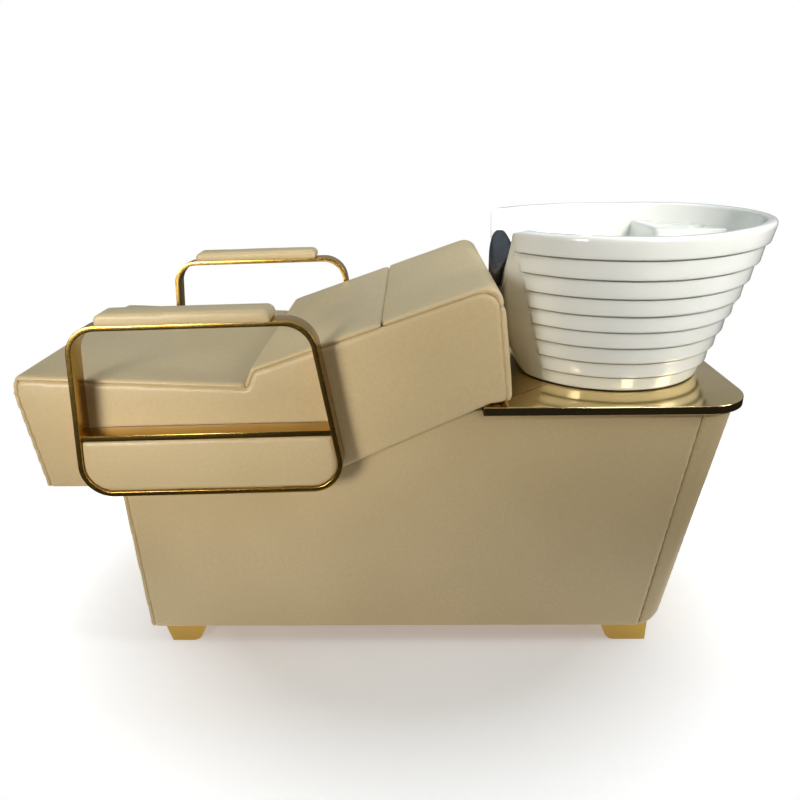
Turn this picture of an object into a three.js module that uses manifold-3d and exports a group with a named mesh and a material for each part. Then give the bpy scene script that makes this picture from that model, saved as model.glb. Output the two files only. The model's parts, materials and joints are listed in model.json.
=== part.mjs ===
// Shampoo backwash unit: upholstered reclined chair on a plinth, ceramic basin on a gold deck.
// Millimetres, +Z up, +X from the sitter's feet towards the basin, sitter's left at -Y.
import * as THREE from 'three';
import { mergeVertices } from 'three/addons/utils/BufferGeometryUtils.js';
import Module from 'manifold-3d';

const wasm = await Module();
wasm.setup();

// ---------------------------------------------------------------- driving dimensions
const GAP = 0.3;                    // clearance between touching pieces

const BODY_HALF_WIDTH = 287.5;      // chair body, outside of the leather
const SEAM_INSET = 8;               // top, front and end covers wrap this far round the sides
const COVER_THICKNESS = 14.2;       // padded leather side cover
const FRAME_BOARD = 15;             // plywood of the chair frame
const SEAT_THICKNESS = 86;
const BACK_THICKNESS = 95;          // measured vertically
const LINER_THICKNESS = 4;

const SEAT_BOTTOM_Z = 414;
const SEAT_FRONT_BOTTOM_X = -736;
const SEAT_NOSE = [-764, 612];
const SEAT_FRONT_TOP = [-757, 647];
const SEAT_REAR_TOP = [-322, 627];
const BACK_FOOT_TOP = [-309, 658];
const BACK_HEAD_TOP = [154, 817.7];
const BACK_END_BOTTOM = [180, 591];
const BACK_UNDER_KINK = [142, 585.9];
const UNDERSIDE_KINK_X = -229.5;
const BACK_SEAM_X = -65;            // cross seam between the two back cushions

const BASE_HALF_WIDTH = 267.5;
const BASE_BOTTOM_Z = 55;
const BASE_PANEL = 18;
const BASE_FRONT_BOTTOM_X = -585;
const BASE_FRONT_TOP_X = -601;
const BASE_FRONT_PANEL = 8;
const REAR_SEAM_BOTTOM_X = 482;
const REAR_SEAM_TOP_X = 555;
const REAR_FACE_BOTTOM_X = 528;
const REAR_FACE_TOP_X = 620;
const REAR_CORNER_RADIUS = 30;
const REAR_BOARD = 12;

const DECK_BOTTOM_Z = 562;
const DECK_TOP_Z = 579;
const DECK_FRONT_X = 128;
const DECK_REAR_X = 649;
const DECK_HALF_WIDTH = 292;
const DECK_CORNER_RADIUS = 96;
const DECK_SHEET = 2;

const LEG_INNER_FACE_Y = 197;
const LEG_OUTER_FACE_Y = 247;

const BASIN_CENTRE_X = 419;
const BASIN_BOTTOM_Z = 581.3;
const BASIN_RIM_Z = 894;
const BASIN_REAR_RISE = 8;
const BASIN_FOOT_RADIUS = 213;
const BASIN_RIM_RADIUS = 304;
const BASIN_FOOT_REAR_EXTRA = -12;  // the plan is a little shorter behind the centre at the foot
const BASIN_RIM_REAR_EXTRA = 10;    // and a little longer at the rim
const BAND_EDGES_Z = [581.3, 612, 644, 677, 711, 744, 779, 815, 853];
const BAND_STEP = 4;
const BAND_START_ANGLE = 42;        // degrees from the front, where the bands begin
const RIM_WIDTH = 24;
const FRONT_WALL = 29;
const CERAMIC_SKIN = 13;
const BOWL_FLOOR_Z = 662;
const NOTCH_BOTTOM_Z = 770;
const NOTCH_CURVE = 0.0032;         // notch edge: z = bottom + curve * y * y
const NOTCH_STEP = 15;              // both the notch and the neck rest are cut at these steps across
const NOTCH_HALF_SPAN = 13 * NOTCH_STEP;
const NECK_REST_HALF_SPAN = 10 * NOTCH_STEP;
const NECK_REST_PAD = 20;
const NECK_REST_FLAP = 8;
const FLAP_DROP = 24;
const LEDGE = { x: 534, y: 55, z: 858 };
const TAP_HOLE = { x: 640, y: 110, radius: 17.5, depth: 60 };
const DRAIN_X = 450;

const ARM_OUTER_Y = 339;
const ARM_DEPTH = 44;
const ARM_BAR = 10;
const ARM_MID_BAR = 12;
const ARM_CENTRE = [-395, 590];
const ARM_TILT_DEGREES = 1.12;
const ARM_CORNER_RADIUS = 60;
const PAD_THICKNESS = 20;
const PAD_WIDTH = 56;

// ---------------------------------------------------------------- materials
function material(colour, roughness, metalness) {
  return new THREE.MeshStandardMaterial({ color: colour, roughness, metalness });
}
const LEATHER = material('#c9b083', 0.5, 0);
const GOLD = material('#c9a552', 0.22, 1);
const CERAMIC = material('#efeee8', 0.12, 0);
const PLYWOOD = material('#b58c5c', 0.75, 0);
const BLACK_LINER = material('#26262a', 0.9, 0);
const GEL_RUBBER = material('#17181a', 0.45, 0);
const CHROME = material('#cfd2d6', 0.15, 1);
const PIPE_PLASTIC = material('#dcdcd6', 0.5, 0);
const STEEL = material('#8c8f94', 0.35, 1);

// ---------------------------------------------------------------- solid helpers
function signedVolume(positions, triangles) {
  let total = 0;
  const a = new THREE.Vector3();
  const b = new THREE.Vector3();
  const c = new THREE.Vector3();
  for (let i = 0; i < triangles.length; i += 3) {
    a.fromArray(positions, triangles[i] * 3);
    b.fromArray(positions, triangles[i + 1] * 3);
    c.fromArray(positions, triangles[i + 2] * 3);
    total += a.dot(b.cross(c)) / 6;
  }
  return total;
}

function solidFrom(geometry) {
  const bare = geometry.clone();
  bare.deleteAttribute('normal');
  bare.deleteAttribute('uv');
  const welded = mergeVertices(bare, 1e-3);
  const vertProperties = new Float32Array(welded.attributes.position.array);
  const kept = [];
  const index = welded.index.array;
  for (let i = 0; i < index.length; i += 3) {
    const [a, b, c] = [index[i], index[i + 1], index[i + 2]];
    if (a !== b && b !== c && c !== a) kept.push(a, b, c);
  }
  if (signedVolume(vertProperties, kept) < 0) {
    for (let i = 0; i < kept.length; i += 3) [kept[i], kept[i + 1]] = [kept[i + 1], kept[i]];
  }
  const triVerts = new Uint32Array(kept);
  return new wasm.Manifold(new wasm.Mesh({ numProp: 3, vertProperties, triVerts }));
}

function shapeOf(points) {
  return new THREE.Shape(points.map(([u, v]) => new THREE.Vector2(u, v)));
}

// A prism whose outline is drawn in X and Z and which runs across from yMin to yMax.
function sidePrism(points, yMin, yMax) {
  const geometry = new THREE.ExtrudeGeometry(shapeOf(points), { depth: yMax - yMin, bevelEnabled: false });
  geometry.rotateX(Math.PI / 2);
  geometry.translate(0, yMax, 0);
  return solidFrom(geometry);
}

// A prism whose outline is drawn in X and Y and which runs up from zMin to zMax.
function planPrism(points, zMin, zMax) {
  const geometry = new THREE.ExtrudeGeometry(shapeOf(points), { depth: zMax - zMin, bevelEnabled: false });
  geometry.translate(0, 0, zMin);
  return solidFrom(geometry);
}

function block(xMin, xMax, yMin, yMax, zMin, zMax) {
  const geometry = new THREE.BoxGeometry(xMax - xMin, yMax - yMin, zMax - zMin);
  geometry.translate((xMin + xMax) / 2, (yMin + yMax) / 2, (zMin + zMax) / 2);
  return solidFrom(geometry);
}

function rod(radius, axis, from, to, u, v, segments = 20) {
  const geometry = new THREE.CylinderGeometry(radius, radius, to - from, segments);
  const middle = (from + to) / 2;
  if (axis === 'z') {
    geometry.rotateX(Math.PI / 2);
    geometry.translate(u, v, middle);
  } else {
    geometry.translate(u, middle, v);
  }
  return solidFrom(geometry);
}

// A solid of revolution about a vertical axis, from a closed list of [radius, z].
function turned(profile, x, y, segments = 32) {
  const closed = [...profile, profile[0]].map(([r, z]) => new THREE.Vector2(r, z));
  const geometry = new THREE.LatheGeometry(closed, segments);
  geometry.rotateX(Math.PI / 2);
  geometry.translate(x, y, 0);
  return solidFrom(geometry);
}

// A solid through a stack of rings with the same number of points, closed by a fan at each end.
function loft(rings) {
  const count = rings[0].length;
  const positions = [];
  const index = [];
  for (const ring of rings) for (const point of ring) positions.push(...point);
  for (let k = 0; k + 1 < rings.length; k += 1) {
    for (let i = 0; i < count; i += 1) {
      const j = (i + 1) % count;
      const [a, b, c, d] = [k * count + i, k * count + j, (k + 1) * count + j, (k + 1) * count + i];
      index.push(a, b, c, a, c, d);
    }
  }
  for (const [k, flip] of [[0, true], [rings.length - 1, false]]) {
    const centre = [0, 1, 2].map((n) => rings[k].reduce((sum, p) => sum + p[n], 0) / count);
    const hub = positions.length / 3;
    positions.push(...centre);
    for (let i = 0; i < count; i += 1) {
      const j = (i + 1) % count;
      const [a, b] = flip ? [k * count + j, k * count + i] : [k * count + i, k * count + j];
      index.push(a, b, hub);
    }
  }
  const geometry = new THREE.BufferGeometry();
  geometry.setAttribute('position', new THREE.Float32BufferAttribute(positions, 3));
  geometry.setIndex(index);
  return solidFrom(geometry);
}

// ---------------------------------------------------------------- outline helpers
// Corners are [u, v, radius]; a radius rounds that corner with a short run of points.
function roundedOutline(corners, steps = 5) {
  const outline = [];
  corners.forEach(([u, v, radius], i) => {
    if (!radius) {
      outline.push([u, v]);
      return;
    }
    const corner = new THREE.Vector2(u, v);
    const before = corners[(i + corners.length - 1) % corners.length];
    const after = corners[(i + 1) % corners.length];
    const toBefore = new THREE.Vector2(before[0] - u, before[1] - v).normalize();
    const toAfter = new THREE.Vector2(after[0] - u, after[1] - v).normalize();
    const half = Math.acos(THREE.MathUtils.clamp(toBefore.dot(toAfter), -1, 1)) / 2;
    const reach = radius / Math.tan(half);
    const start = corner.clone().addScaledVector(toBefore, reach);
    const end = corner.clone().addScaledVector(toAfter, reach);
    const middle = toBefore.clone().add(toAfter).normalize();
    const centre = corner.clone().addScaledVector(middle, radius / Math.sin(half));
    const first = Math.atan2(start.y - centre.y, start.x - centre.x);
    let sweep = Math.atan2(end.y - centre.y, end.x - centre.x) - first;
    if (sweep > Math.PI) sweep -= 2 * Math.PI;
    if (sweep < -Math.PI) sweep += 2 * Math.PI;
    for (let k = 0; k <= steps; k += 1) {
      const angle = first + (sweep * k) / steps;
      outline.push([centre.x + radius * Math.cos(angle), centre.y + radius * Math.sin(angle)]);
    }
  });
  return outline;
}

// Moves each edge of a counter-clockwise outline inwards by its own distance.
function insetOutline(points, distances) {
  const lines = points.map(([u, v], i) => {
    const [u2, v2] = points[(i + 1) % points.length];
    const length = Math.hypot(u2 - u, v2 - v);
    const [du, dv] = [(u2 - u) / length, (v2 - v) / length];
    return { u: u - dv * distances[i], v: v + du * distances[i], du, dv };
  });
  return lines.map((line, i) => {
    const before = lines[(i + lines.length - 1) % lines.length];
    const cross = before.du * line.dv - before.dv * line.du;
    const t = ((line.u - before.u) * line.dv - (line.v - before.v) * line.du) / cross;
    return [before.u + before.du * t, before.v + before.dv * t];
  });
}

function lineThrough([x1, z1], [x2, z2]) {
  return (x) => z1 + ((x - x1) * (z2 - z1)) / (x2 - x1);
}

function crossPoint(line, z) {
  const [[x1, z1], [x2, z2]] = line;
  return [x1 + ((z - z1) * (x2 - x1)) / (z2 - z1), z];
}

// ---------------------------------------------------------------- assembly helpers
const unit = new THREE.Group();
unit.name = 'shampoo_backwash_unit';

function addPart(name, solid, look, parent = unit) {
  const mesh = solid.getMesh();
  const geometry = new THREE.BufferGeometry();
  geometry.setAttribute('position', new THREE.Float32BufferAttribute(mesh.vertProperties, 3));
  geometry.setIndex(Array.from(mesh.triVerts));
  const flat = geometry.toNonIndexed();
  flat.computeVertexNormals();
  const part = new THREE.Mesh(flat, look);
  part.name = name;
  parent.add(part);
  return part;
}

const SIDES = [{ side: 'left', sign: -1 }, { side: 'right', sign: 1 }];

// A band across the unit between two distances from its middle plane, on one side.
function across(sign, near, far) {
  return sign < 0 ? [-far, -near] : [near, far];
}

// ---------------------------------------------------------------- chair body
const seatTop = lineThrough(SEAT_FRONT_TOP, SEAT_REAR_TOP);
const backTop = lineThrough(BACK_FOOT_TOP, BACK_HEAD_TOP);
const backUnder = lineThrough([UNDERSIDE_KINK_X, SEAT_BOTTOM_Z], BACK_UNDER_KINK);
const seatCushionBottom = (x) => seatTop(x) - SEAT_THICKNESS;
const backCushionBottom = (x) => backTop(x) - BACK_THICKNESS;

// Counter-clockwise from the front bottom corner: bottom, rise of the back, end, top, seat, nose.
const BODY_CORNERS = [
  [SEAT_FRONT_BOTTOM_X, SEAT_BOTTOM_Z], [UNDERSIDE_KINK_X, SEAT_BOTTOM_Z], BACK_UNDER_KINK,
  BACK_END_BOTTOM, BACK_HEAD_TOP, BACK_FOOT_TOP, SEAT_REAR_TOP, SEAT_FRONT_TOP, SEAT_NOSE,
];
const CORNER_RADII = [0, 0, 0, 8, 30, 9, 0, 9, 0];
const withRadii = (points) => points.map(([x, z], i) => [x, z, CORNER_RADII[i]]);
const insetBody = (wrap, under = 0) => insetOutline(
  BODY_CORNERS, [under, under, under, wrap, wrap, wrap, wrap, wrap, wrap]);

const bodyOutline = roundedOutline(withRadii(BODY_CORNERS));
const coverOutline = roundedOutline(withRadii(insetBody(SEAM_INSET)));
const coverClearance = roundedOutline(withRadii(insetBody(SEAM_INSET - GAP, -1)));
const innerLine = insetBody(SEAM_INSET + GAP);
const boardOuterY = BODY_HALF_WIDTH - COVER_THICKNESS - GAP;
const boardInnerY = boardOuterY - FRAME_BOARD;
const coreHalfWidth = boardInnerY - GAP;

function bodySlice(zone) {
  const whole = sidePrism(bodyOutline, -BODY_HALF_WIDTH, BODY_HALF_WIDTH);
  let slice = whole.intersect(sidePrism(zone, -BODY_HALF_WIDTH - 1, BODY_HALF_WIDTH + 1));
  for (const { sign } of SIDES) {
    const [low, high] = across(sign, coreHalfWidth, BODY_HALF_WIDTH + 2);
    slice = slice.subtract(sidePrism(coverClearance, low, high));
  }
  return slice;
}

const ABOVE = 900;
const frontInnerLine = [innerLine[0], innerLine[8]];
const endInnerLine = [innerLine[3], innerLine[4]];
const seatLipZ = SEAT_FRONT_TOP[1] - SEAM_INSET;
const endSeamZ = BACK_HEAD_TOP[1] - 46;

function addCushions() {
  const seatEnd = SEAT_REAR_TOP[0] - GAP / 2;
  const seatFrontX = crossPoint(frontInnerLine, seatCushionBottom(SEAT_FRONT_TOP[0]))[0];
  const seatZone = [
    [-800, seatLipZ], [innerLine[7][0], seatLipZ], innerLine[8], [seatFrontX, seatCushionBottom(seatFrontX)],
    [seatEnd, seatCushionBottom(seatEnd)], [seatEnd, ABOVE], [-800, ABOVE],
  ];
  addPart('seat_cushion', bodySlice(seatZone), LEATHER);

  const lowerStart = SEAT_REAR_TOP[0] + GAP / 2;
  const lowerEnd = BACK_SEAM_X - GAP / 2;
  const lowerZone = [
    [lowerStart, backCushionBottom(lowerStart)], [lowerEnd + 31, backCushionBottom(lowerEnd + 31)],
    [lowerEnd, backTop(lowerEnd)], [lowerEnd, ABOVE], [lowerStart, ABOVE],
  ];
  addPart('back_cushion_lower', bodySlice(lowerZone), LEATHER);

  const upperStart = BACK_SEAM_X + GAP / 2;
  const endX = crossPoint(endInnerLine, backCushionBottom(BACK_HEAD_TOP[0]))[0];
  const endAtBottom = [endX, backCushionBottom(endX)];
  const upperZone = [
    [upperStart + 31, backCushionBottom(upperStart + 31)], endAtBottom,
    crossPoint(endInnerLine, endSeamZ), [220, endSeamZ], [220, ABOVE],
    [upperStart, ABOVE], [upperStart, backTop(upperStart)],
  ];
  addPart('back_cushion_upper', bodySlice(upperZone), LEATHER);
}

function addEndCovers() {
  const frontZone = [
    [-800, SEAT_BOTTOM_Z - 1], [innerLine[0][0] - GAP, SEAT_BOTTOM_Z - 1],
    [innerLine[8][0] - GAP, innerLine[8][1]], [innerLine[7][0] - GAP, seatLipZ - GAP], [-800, seatLipZ - GAP],
  ];
  addPart('seat_front_cover', bodySlice(frontZone), LEATHER);

  const foot = crossPoint(endInnerLine, BACK_UNDER_KINK[1]);
  const head = crossPoint(endInnerLine, endSeamZ - GAP);
  const endZone = [
    [foot[0] + GAP, foot[1]], [220, foot[1]], [220, head[1]], [head[0] + GAP, head[1]],
  ];
  addPart('back_end_cover', bodySlice(endZone), LEATHER);
}

const ARM_BOLTS = [{ x: -560, z: 470 }, { x: -230, z: 477 }];
const BOLT_RADIUS = 4;

function drillForArmBolts(solid, from, to, radius = BOLT_RADIUS + GAP) {
  return ARM_BOLTS.reduce((left, bolt) => left.subtract(rod(radius, 'y', from, to, bolt.x, bolt.z)), solid);
}

function addChairSides() {
  const boardOutline = roundedOutline(withRadii(insetOutline(
    BODY_CORNERS, BODY_CORNERS.map((corner, i) => (i < 3 ? GAP : SEAM_INSET + 6)))));
  for (const { side, sign } of SIDES) {
    const [coverLow, coverHigh] = across(sign, boardOuterY + GAP, BODY_HALF_WIDTH);
    const cover = sidePrism(coverOutline, coverLow, coverHigh);
    addPart(`chair_side_cover_${side}`, drillForArmBolts(cover, coverLow - 5, coverHigh + 5), LEATHER);
    const [boardLow, boardHigh] = across(sign, boardInnerY, boardOuterY);
    const board = sidePrism(boardOutline, boardLow, boardHigh);
    addPart(`chair_side_board_${side}`, drillForArmBolts(board, boardLow - 5, boardHigh + 5), PLYWOOD);
  }
}

function addChairFrame() {
  const inside = coreHalfWidth - GAP;
  const addBoard = (name, outline, look = PLYWOOD) => addPart(name, sidePrism(outline, -inside, inside), look);
  const linerTop = SEAT_BOTTOM_Z + LINER_THICKNESS;
  const railBase = linerTop + GAP;
  const slopeRise = LINER_THICKNESS * 1.15;

  const seatBoardTop = (x) => seatCushionBottom(x) - GAP;
  const seatBoardFront = -744;
  const seatBoardRear = SEAT_REAR_TOP[0] - GAP;
  addBoard('seat_board', [
    [seatBoardFront, seatBoardTop(seatBoardFront) - FRAME_BOARD], [seatBoardRear, seatBoardTop(seatBoardRear) - FRAME_BOARD],
    [seatBoardRear, seatBoardTop(seatBoardRear)], [seatBoardFront, seatBoardTop(seatBoardFront)],
  ]);

  const backBoardTop = (x) => backCushionBottom(x) - GAP;
  const backBoardFoot = SEAT_REAR_TOP[0] + GAP;
  const backBoardHead = 138;
  addBoard('back_board', [
    [backBoardFoot, backBoardTop(backBoardFoot) - FRAME_BOARD], [backBoardHead, backBoardTop(backBoardHead) - FRAME_BOARD],
    [backBoardHead, backBoardTop(backBoardHead)], [backBoardFoot, backBoardTop(backBoardFoot)],
  ]);

  const frontTop = seatBoardTop(seatBoardFront + 2 * FRAME_BOARD) - FRAME_BOARD - GAP;
  const frontFoot = crossPoint(frontInnerLine, railBase);
  const frontHead = crossPoint(frontInnerLine, frontTop);
  addBoard('seat_front_board', [
    [frontFoot[0] + GAP, railBase], [frontFoot[0] + FRAME_BOARD, railBase],
    [frontHead[0] + FRAME_BOARD, frontTop], [frontHead[0] + GAP, frontTop],
  ]);

  const endTop = backBoardTop(backBoardHead) - FRAME_BOARD;
  const endBase = BACK_UNDER_KINK[1] + 12;
  const endFoot = crossPoint(endInnerLine, endBase);
  const endHead = crossPoint(endInnerLine, endTop);
  addBoard('back_end_board', [
    [endFoot[0] - FRAME_BOARD, endBase], [endFoot[0] - GAP, endBase],
    [endHead[0] - GAP, endTop], [endHead[0] - FRAME_BOARD, endTop],
  ]);

  const seatRail = seatBoardRear - 2;
  addBoard('seat_rear_rail', [
    [seatRail - FRAME_BOARD, railBase], [seatRail, railBase],
    [seatRail, seatBoardTop(seatRail) - FRAME_BOARD - GAP], [seatRail - FRAME_BOARD, seatBoardTop(seatRail) - FRAME_BOARD - GAP],
  ]);

  const backRail = backBoardFoot + 2;
  const backRailTop = backBoardTop(backRail) - FRAME_BOARD - GAP;
  addBoard('back_lower_rail', [
    [backRail, railBase], [backRail + FRAME_BOARD, railBase],
    [backRail + FRAME_BOARD, backRailTop], [backRail, backRailTop],
  ]);

  const linerSplit = UNDERSIDE_KINK_X - 2;
  addBoard('seat_bottom_liner', [
    [SEAT_FRONT_BOTTOM_X + SEAM_INSET + 1, SEAT_BOTTOM_Z], [linerSplit - GAP, SEAT_BOTTOM_Z],
    [linerSplit - GAP, linerTop], [SEAT_FRONT_BOTTOM_X + SEAM_INSET + 1, linerTop],
  ], BLACK_LINER);
  const linerEnd = endFoot[0] - 4;
  const underEnd = lineThrough(BACK_UNDER_KINK, BACK_END_BOTTOM);
  addBoard('back_bottom_liner', [
    [linerSplit, SEAT_BOTTOM_Z], [UNDERSIDE_KINK_X, SEAT_BOTTOM_Z], BACK_UNDER_KINK, [linerEnd, underEnd(linerEnd)],
    [linerEnd, underEnd(linerEnd) + LINER_THICKNESS], [BACK_UNDER_KINK[0] - 1, BACK_UNDER_KINK[1] + slopeRise],
    [UNDERSIDE_KINK_X - 1, SEAT_BOTTOM_Z + slopeRise], [linerSplit, SEAT_BOTTOM_Z + slopeRise],
  ], BLACK_LINER);
}

// ---------------------------------------------------------------- base
const baseTopZ = SEAT_BOTTOM_Z - GAP;
const panelTopZ = DECK_BOTTOM_Z - GAP;
const frontFaceX = (z) => lineThrough([BASE_BOTTOM_Z, BASE_FRONT_BOTTOM_X], [SEAT_BOTTOM_Z, BASE_FRONT_TOP_X])(z);
const rearSeamX = (z) => lineThrough([BASE_BOTTOM_Z, REAR_SEAM_BOTTOM_X], [DECK_BOTTOM_Z, REAR_SEAM_TOP_X])(z);
const rearFaceX = (z) => lineThrough([BASE_BOTTOM_Z, REAR_FACE_BOTTOM_X], [DECK_BOTTOM_Z, REAR_FACE_TOP_X])(z);
const panelInnerY = BASE_HALF_WIDTH - BASE_PANEL;
const BOTTOM_BOARD = 15;
const SERVICE_CUTOUT = { xMin: 270, xMax: 410, halfWidth: 90 };
const BULKHEAD_X = 132;

function addBaseSides() {
  const front = BASE_FRONT_PANEL + GAP;
  const slopeGap = GAP * 1.2;
  const risesToDeckX = UNDERSIDE_KINK_X + (panelTopZ - SEAT_BOTTOM_Z + slopeGap)
    / ((BACK_UNDER_KINK[1] - SEAT_BOTTOM_Z) / (BACK_UNDER_KINK[0] - UNDERSIDE_KINK_X));
  const outline = [
    [frontFaceX(BASE_BOTTOM_Z) + front, BASE_BOTTOM_Z], [REAR_SEAM_BOTTOM_X, BASE_BOTTOM_Z],
    [rearSeamX(panelTopZ), panelTopZ], [risesToDeckX, panelTopZ],
    [UNDERSIDE_KINK_X, baseTopZ], [frontFaceX(baseTopZ) + front, baseTopZ],
  ];
  for (const { side, sign } of SIDES) {
    const [low, high] = across(sign, panelInnerY, BASE_HALF_WIDTH);
    addPart(`base_side_panel_${side}`, sidePrism(outline, low, high), LEATHER);
  }
}

function addBaseFront() {
  const outline = roundedOutline([
    [frontFaceX(BASE_BOTTOM_Z), BASE_BOTTOM_Z, 5], [frontFaceX(BASE_BOTTOM_Z) + BASE_FRONT_PANEL, BASE_BOTTOM_Z, 0],
    [frontFaceX(baseTopZ) + BASE_FRONT_PANEL, baseTopZ, 0], [frontFaceX(baseTopZ), baseTopZ, 0],
  ]);
  addPart('base_front_panel', sidePrism(outline, -BASE_HALF_WIDTH, BASE_HALF_WIDTH), LEATHER);
}

// The padded rear cover is thicker at the top, has round upright edges and a rolled lower edge.
function addBaseRear() {
  const rolled = [[0, 22], [7, 8], [24, 0]];
  const heights = [...rolled.map(([rise, back]) => [BASE_BOTTOM_Z + rise, back]), [panelTopZ, 0]];
  const rings = heights.map(([z, back]) => {
    const inner = rearSeamX(z) + GAP;
    const outer = rearFaceX(z) - back;
    const radius = Math.min(REAR_CORNER_RADIUS, outer - inner - 2);
    return roundedOutline([
      [inner, -BASE_HALF_WIDTH, 0], [outer, -BASE_HALF_WIDTH, radius],
      [outer, BASE_HALF_WIDTH, radius], [inner, BASE_HALF_WIDTH, 0],
    ], 6).map(([x, y]) => [x, y, z]);
  });
  addPart('base_rear_cover', loft(rings), LEATHER);

  const inside = panelInnerY - 2;
  const low = BASE_BOTTOM_Z + BOTTOM_BOARD + 3;
  const high = panelTopZ - 2;
  addPart('base_rear_board', sidePrism([
    [rearSeamX(low) - REAR_BOARD, low], [rearSeamX(low), low],
    [rearSeamX(high), high], [rearSeamX(high) - REAR_BOARD, high],
  ], -inside, inside), PLYWOOD);
}

function addBaseFrame() {
  const inside = panelInnerY - GAP;
  const boardTop = BASE_BOTTOM_Z + BOTTOM_BOARD;
  const boardFront = frontFaceX(BASE_BOTTOM_Z) + BASE_FRONT_PANEL + 1;
  const bottom = block(boardFront, rearSeamX(boardTop) - REAR_BOARD - 1, -inside, inside, BASE_BOTTOM_Z, boardTop);
  const { xMin, xMax, halfWidth } = SERVICE_CUTOUT;
  const cutout = block(xMin, xMax, -halfWidth, halfWidth, BASE_BOTTOM_Z - 5, boardTop + 5);
  addPart('base_bottom_board', bottom.subtract(cutout), PLYWOOD);

  addPart('base_bulkhead', block(
    BULKHEAD_X, BULKHEAD_X + BASE_PANEL, -inside, inside, boardTop + GAP, panelTopZ), PLYWOOD);

  const cleat = 25;
  const railFront = 505;
  for (const { side, sign } of SIDES) {
    const [low, high] = across(sign, inside - cleat, inside);
    addPart(`deck_cleat_${side}`, block(
      BULKHEAD_X + BASE_PANEL + GAP, railFront - GAP, low, high, panelTopZ - cleat, panelTopZ), PLYWOOD);
  }
  const railBottom = 515;
  const railBack = railFront + BASE_PANEL;
  addPart('rear_top_rail', block(railFront, railBack, -inside, inside, railBottom, panelTopZ), PLYWOOD);
  for (const { side, sign } of SIDES) {
    const [low, high] = across(sign, 150, 190);
    addPart(`magnet_catch_${side}`, block(
      railBack + GAP, railBack + 13, low, high, railBottom + 10, railBottom + 26), STEEL);
  }
}

// Each leg is a slab with its outer edge leaning in and a round inner lower corner.
function addLegs() {
  const top = BASE_BOTTOM_Z - GAP;
  const ends = {
    front: [[-551, 0, 0], [-490, 0, 24], [-464, top, 0], [-566, top, 0]],
    rear: [[425, 0, 24], [509, 0, 0], [509, top, 0], [402, top, 0]],
  };
  for (const [end, corners] of Object.entries(ends)) {
    for (const { side, sign } of SIDES) {
      const [low, high] = across(sign, LEG_INNER_FACE_Y, LEG_OUTER_FACE_Y);
      addPart(`leg_${end}_${side}`, sidePrism(roundedOutline(corners, 6), low, high), GOLD);
    }
  }
}

// ---------------------------------------------------------------- deck
function deckOutline(inset) {
  const half = DECK_HALF_WIDTH - inset;
  const radius = DECK_CORNER_RADIUS - inset;
  return roundedOutline([
    [DECK_FRONT_X, -half, 0], [DECK_REAR_X - inset, -half, radius],
    [DECK_REAR_X - inset, half, radius], [DECK_FRONT_X, half, 0],
  ], 10);
}

function addDeck() {
  const drainHole = rod(50, 'z', DECK_BOTTOM_Z - 5, DECK_TOP_Z + 5, DRAIN_X, 0, 32);
  const boardTop = DECK_TOP_Z - DECK_SHEET - GAP;
  const board = planPrism(deckOutline(DECK_SHEET + GAP), DECK_BOTTOM_Z, boardTop).subtract(drainHole);
  addPart('deck_board', board, PLYWOOD);
  const tray = planPrism(deckOutline(0), DECK_BOTTOM_Z, DECK_TOP_Z);
  const hollow = planPrism(deckOutline(DECK_SHEET), DECK_BOTTOM_Z - 5, DECK_TOP_Z - DECK_SHEET);
  const openFront = block(DECK_FRONT_X - 1, DECK_FRONT_X + 1, -DECK_HALF_WIDTH + DECK_SHEET,
    DECK_HALF_WIDTH - DECK_SHEET, DECK_BOTTOM_Z - 5, DECK_TOP_Z - DECK_SHEET);
  addPart('deck_plate', tray.subtract(hollow).subtract(openFront).subtract(drainHole), GOLD);
}

// ---------------------------------------------------------------- basin
const FRONT_FACE = [[581, 229], [623, 206], [670, 192], [711, 186], [805, 178], [894, 174], [950, 170]];
const BOWL_RINGS = [
  { depth: 0, round: 1, front: 1 }, { depth: 0.15, round: 0.965, front: 1 },
  { depth: 0.35, round: 0.92, front: 0.995 }, { depth: 0.55, round: 0.85, front: 0.98 },
  { depth: 0.75, round: 0.73, front: 0.93 }, { depth: 0.9, round: 0.52, front: 0.72 },
  { depth: 1, round: 0.2, front: 0.28 },
];

function frontX(z) {
  const height = THREE.MathUtils.clamp(z, FRONT_FACE[0][0], FRONT_FACE.at(-1)[0]);
  const i = FRONT_FACE.findIndex(([top], k) => k > 0 && height <= top);
  return lineThrough(FRONT_FACE[i - 1], FRONT_FACE[i])(height);
}

const heightShare = (z) => (z - BASIN_BOTTOM_Z) / (BASIN_RIM_Z - BASIN_BOTTOM_Z);
const sideRadius = (z) => THREE.MathUtils.lerp(BASIN_FOOT_RADIUS, BASIN_RIM_RADIUS, heightShare(z));
const rearExtra = (z) => THREE.MathUtils.lerp(BASIN_FOOT_REAR_EXTRA, BASIN_RIM_REAR_EXTRA, heightShare(z));
const rimZ = (x) => BASIN_RIM_Z + BASIN_REAR_RISE
  * THREE.MathUtils.smoothstep(x, BASIN_CENTRE_X, BASIN_CENTRE_X + BASIN_RIM_RADIUS);

// Angles start at the front (-X) and go round; extra ones sit where the bands begin.
function ringAngles(count) {
  const angles = Array.from({ length: count }, (unused, i) => (i * 360) / count);
  const extra = [BAND_START_ANGLE, BAND_START_ANGLE + 1.5, 360 - BAND_START_ANGLE, 358.5 - BAND_START_ANGLE];
  return [...angles, ...extra].sort((a, b) => a - b).filter((a, i, all) => i === 0 || a - all[i - 1] > 0.4);
}

function onBands(angle) {
  return Math.abs(180 - angle) < 180 - BAND_START_ANGLE - 1;
}

function smoothMin(a, b, softness) {
  return -softness * Math.log(Math.exp(-a / softness) + Math.exp(-b / softness));
}

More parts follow.
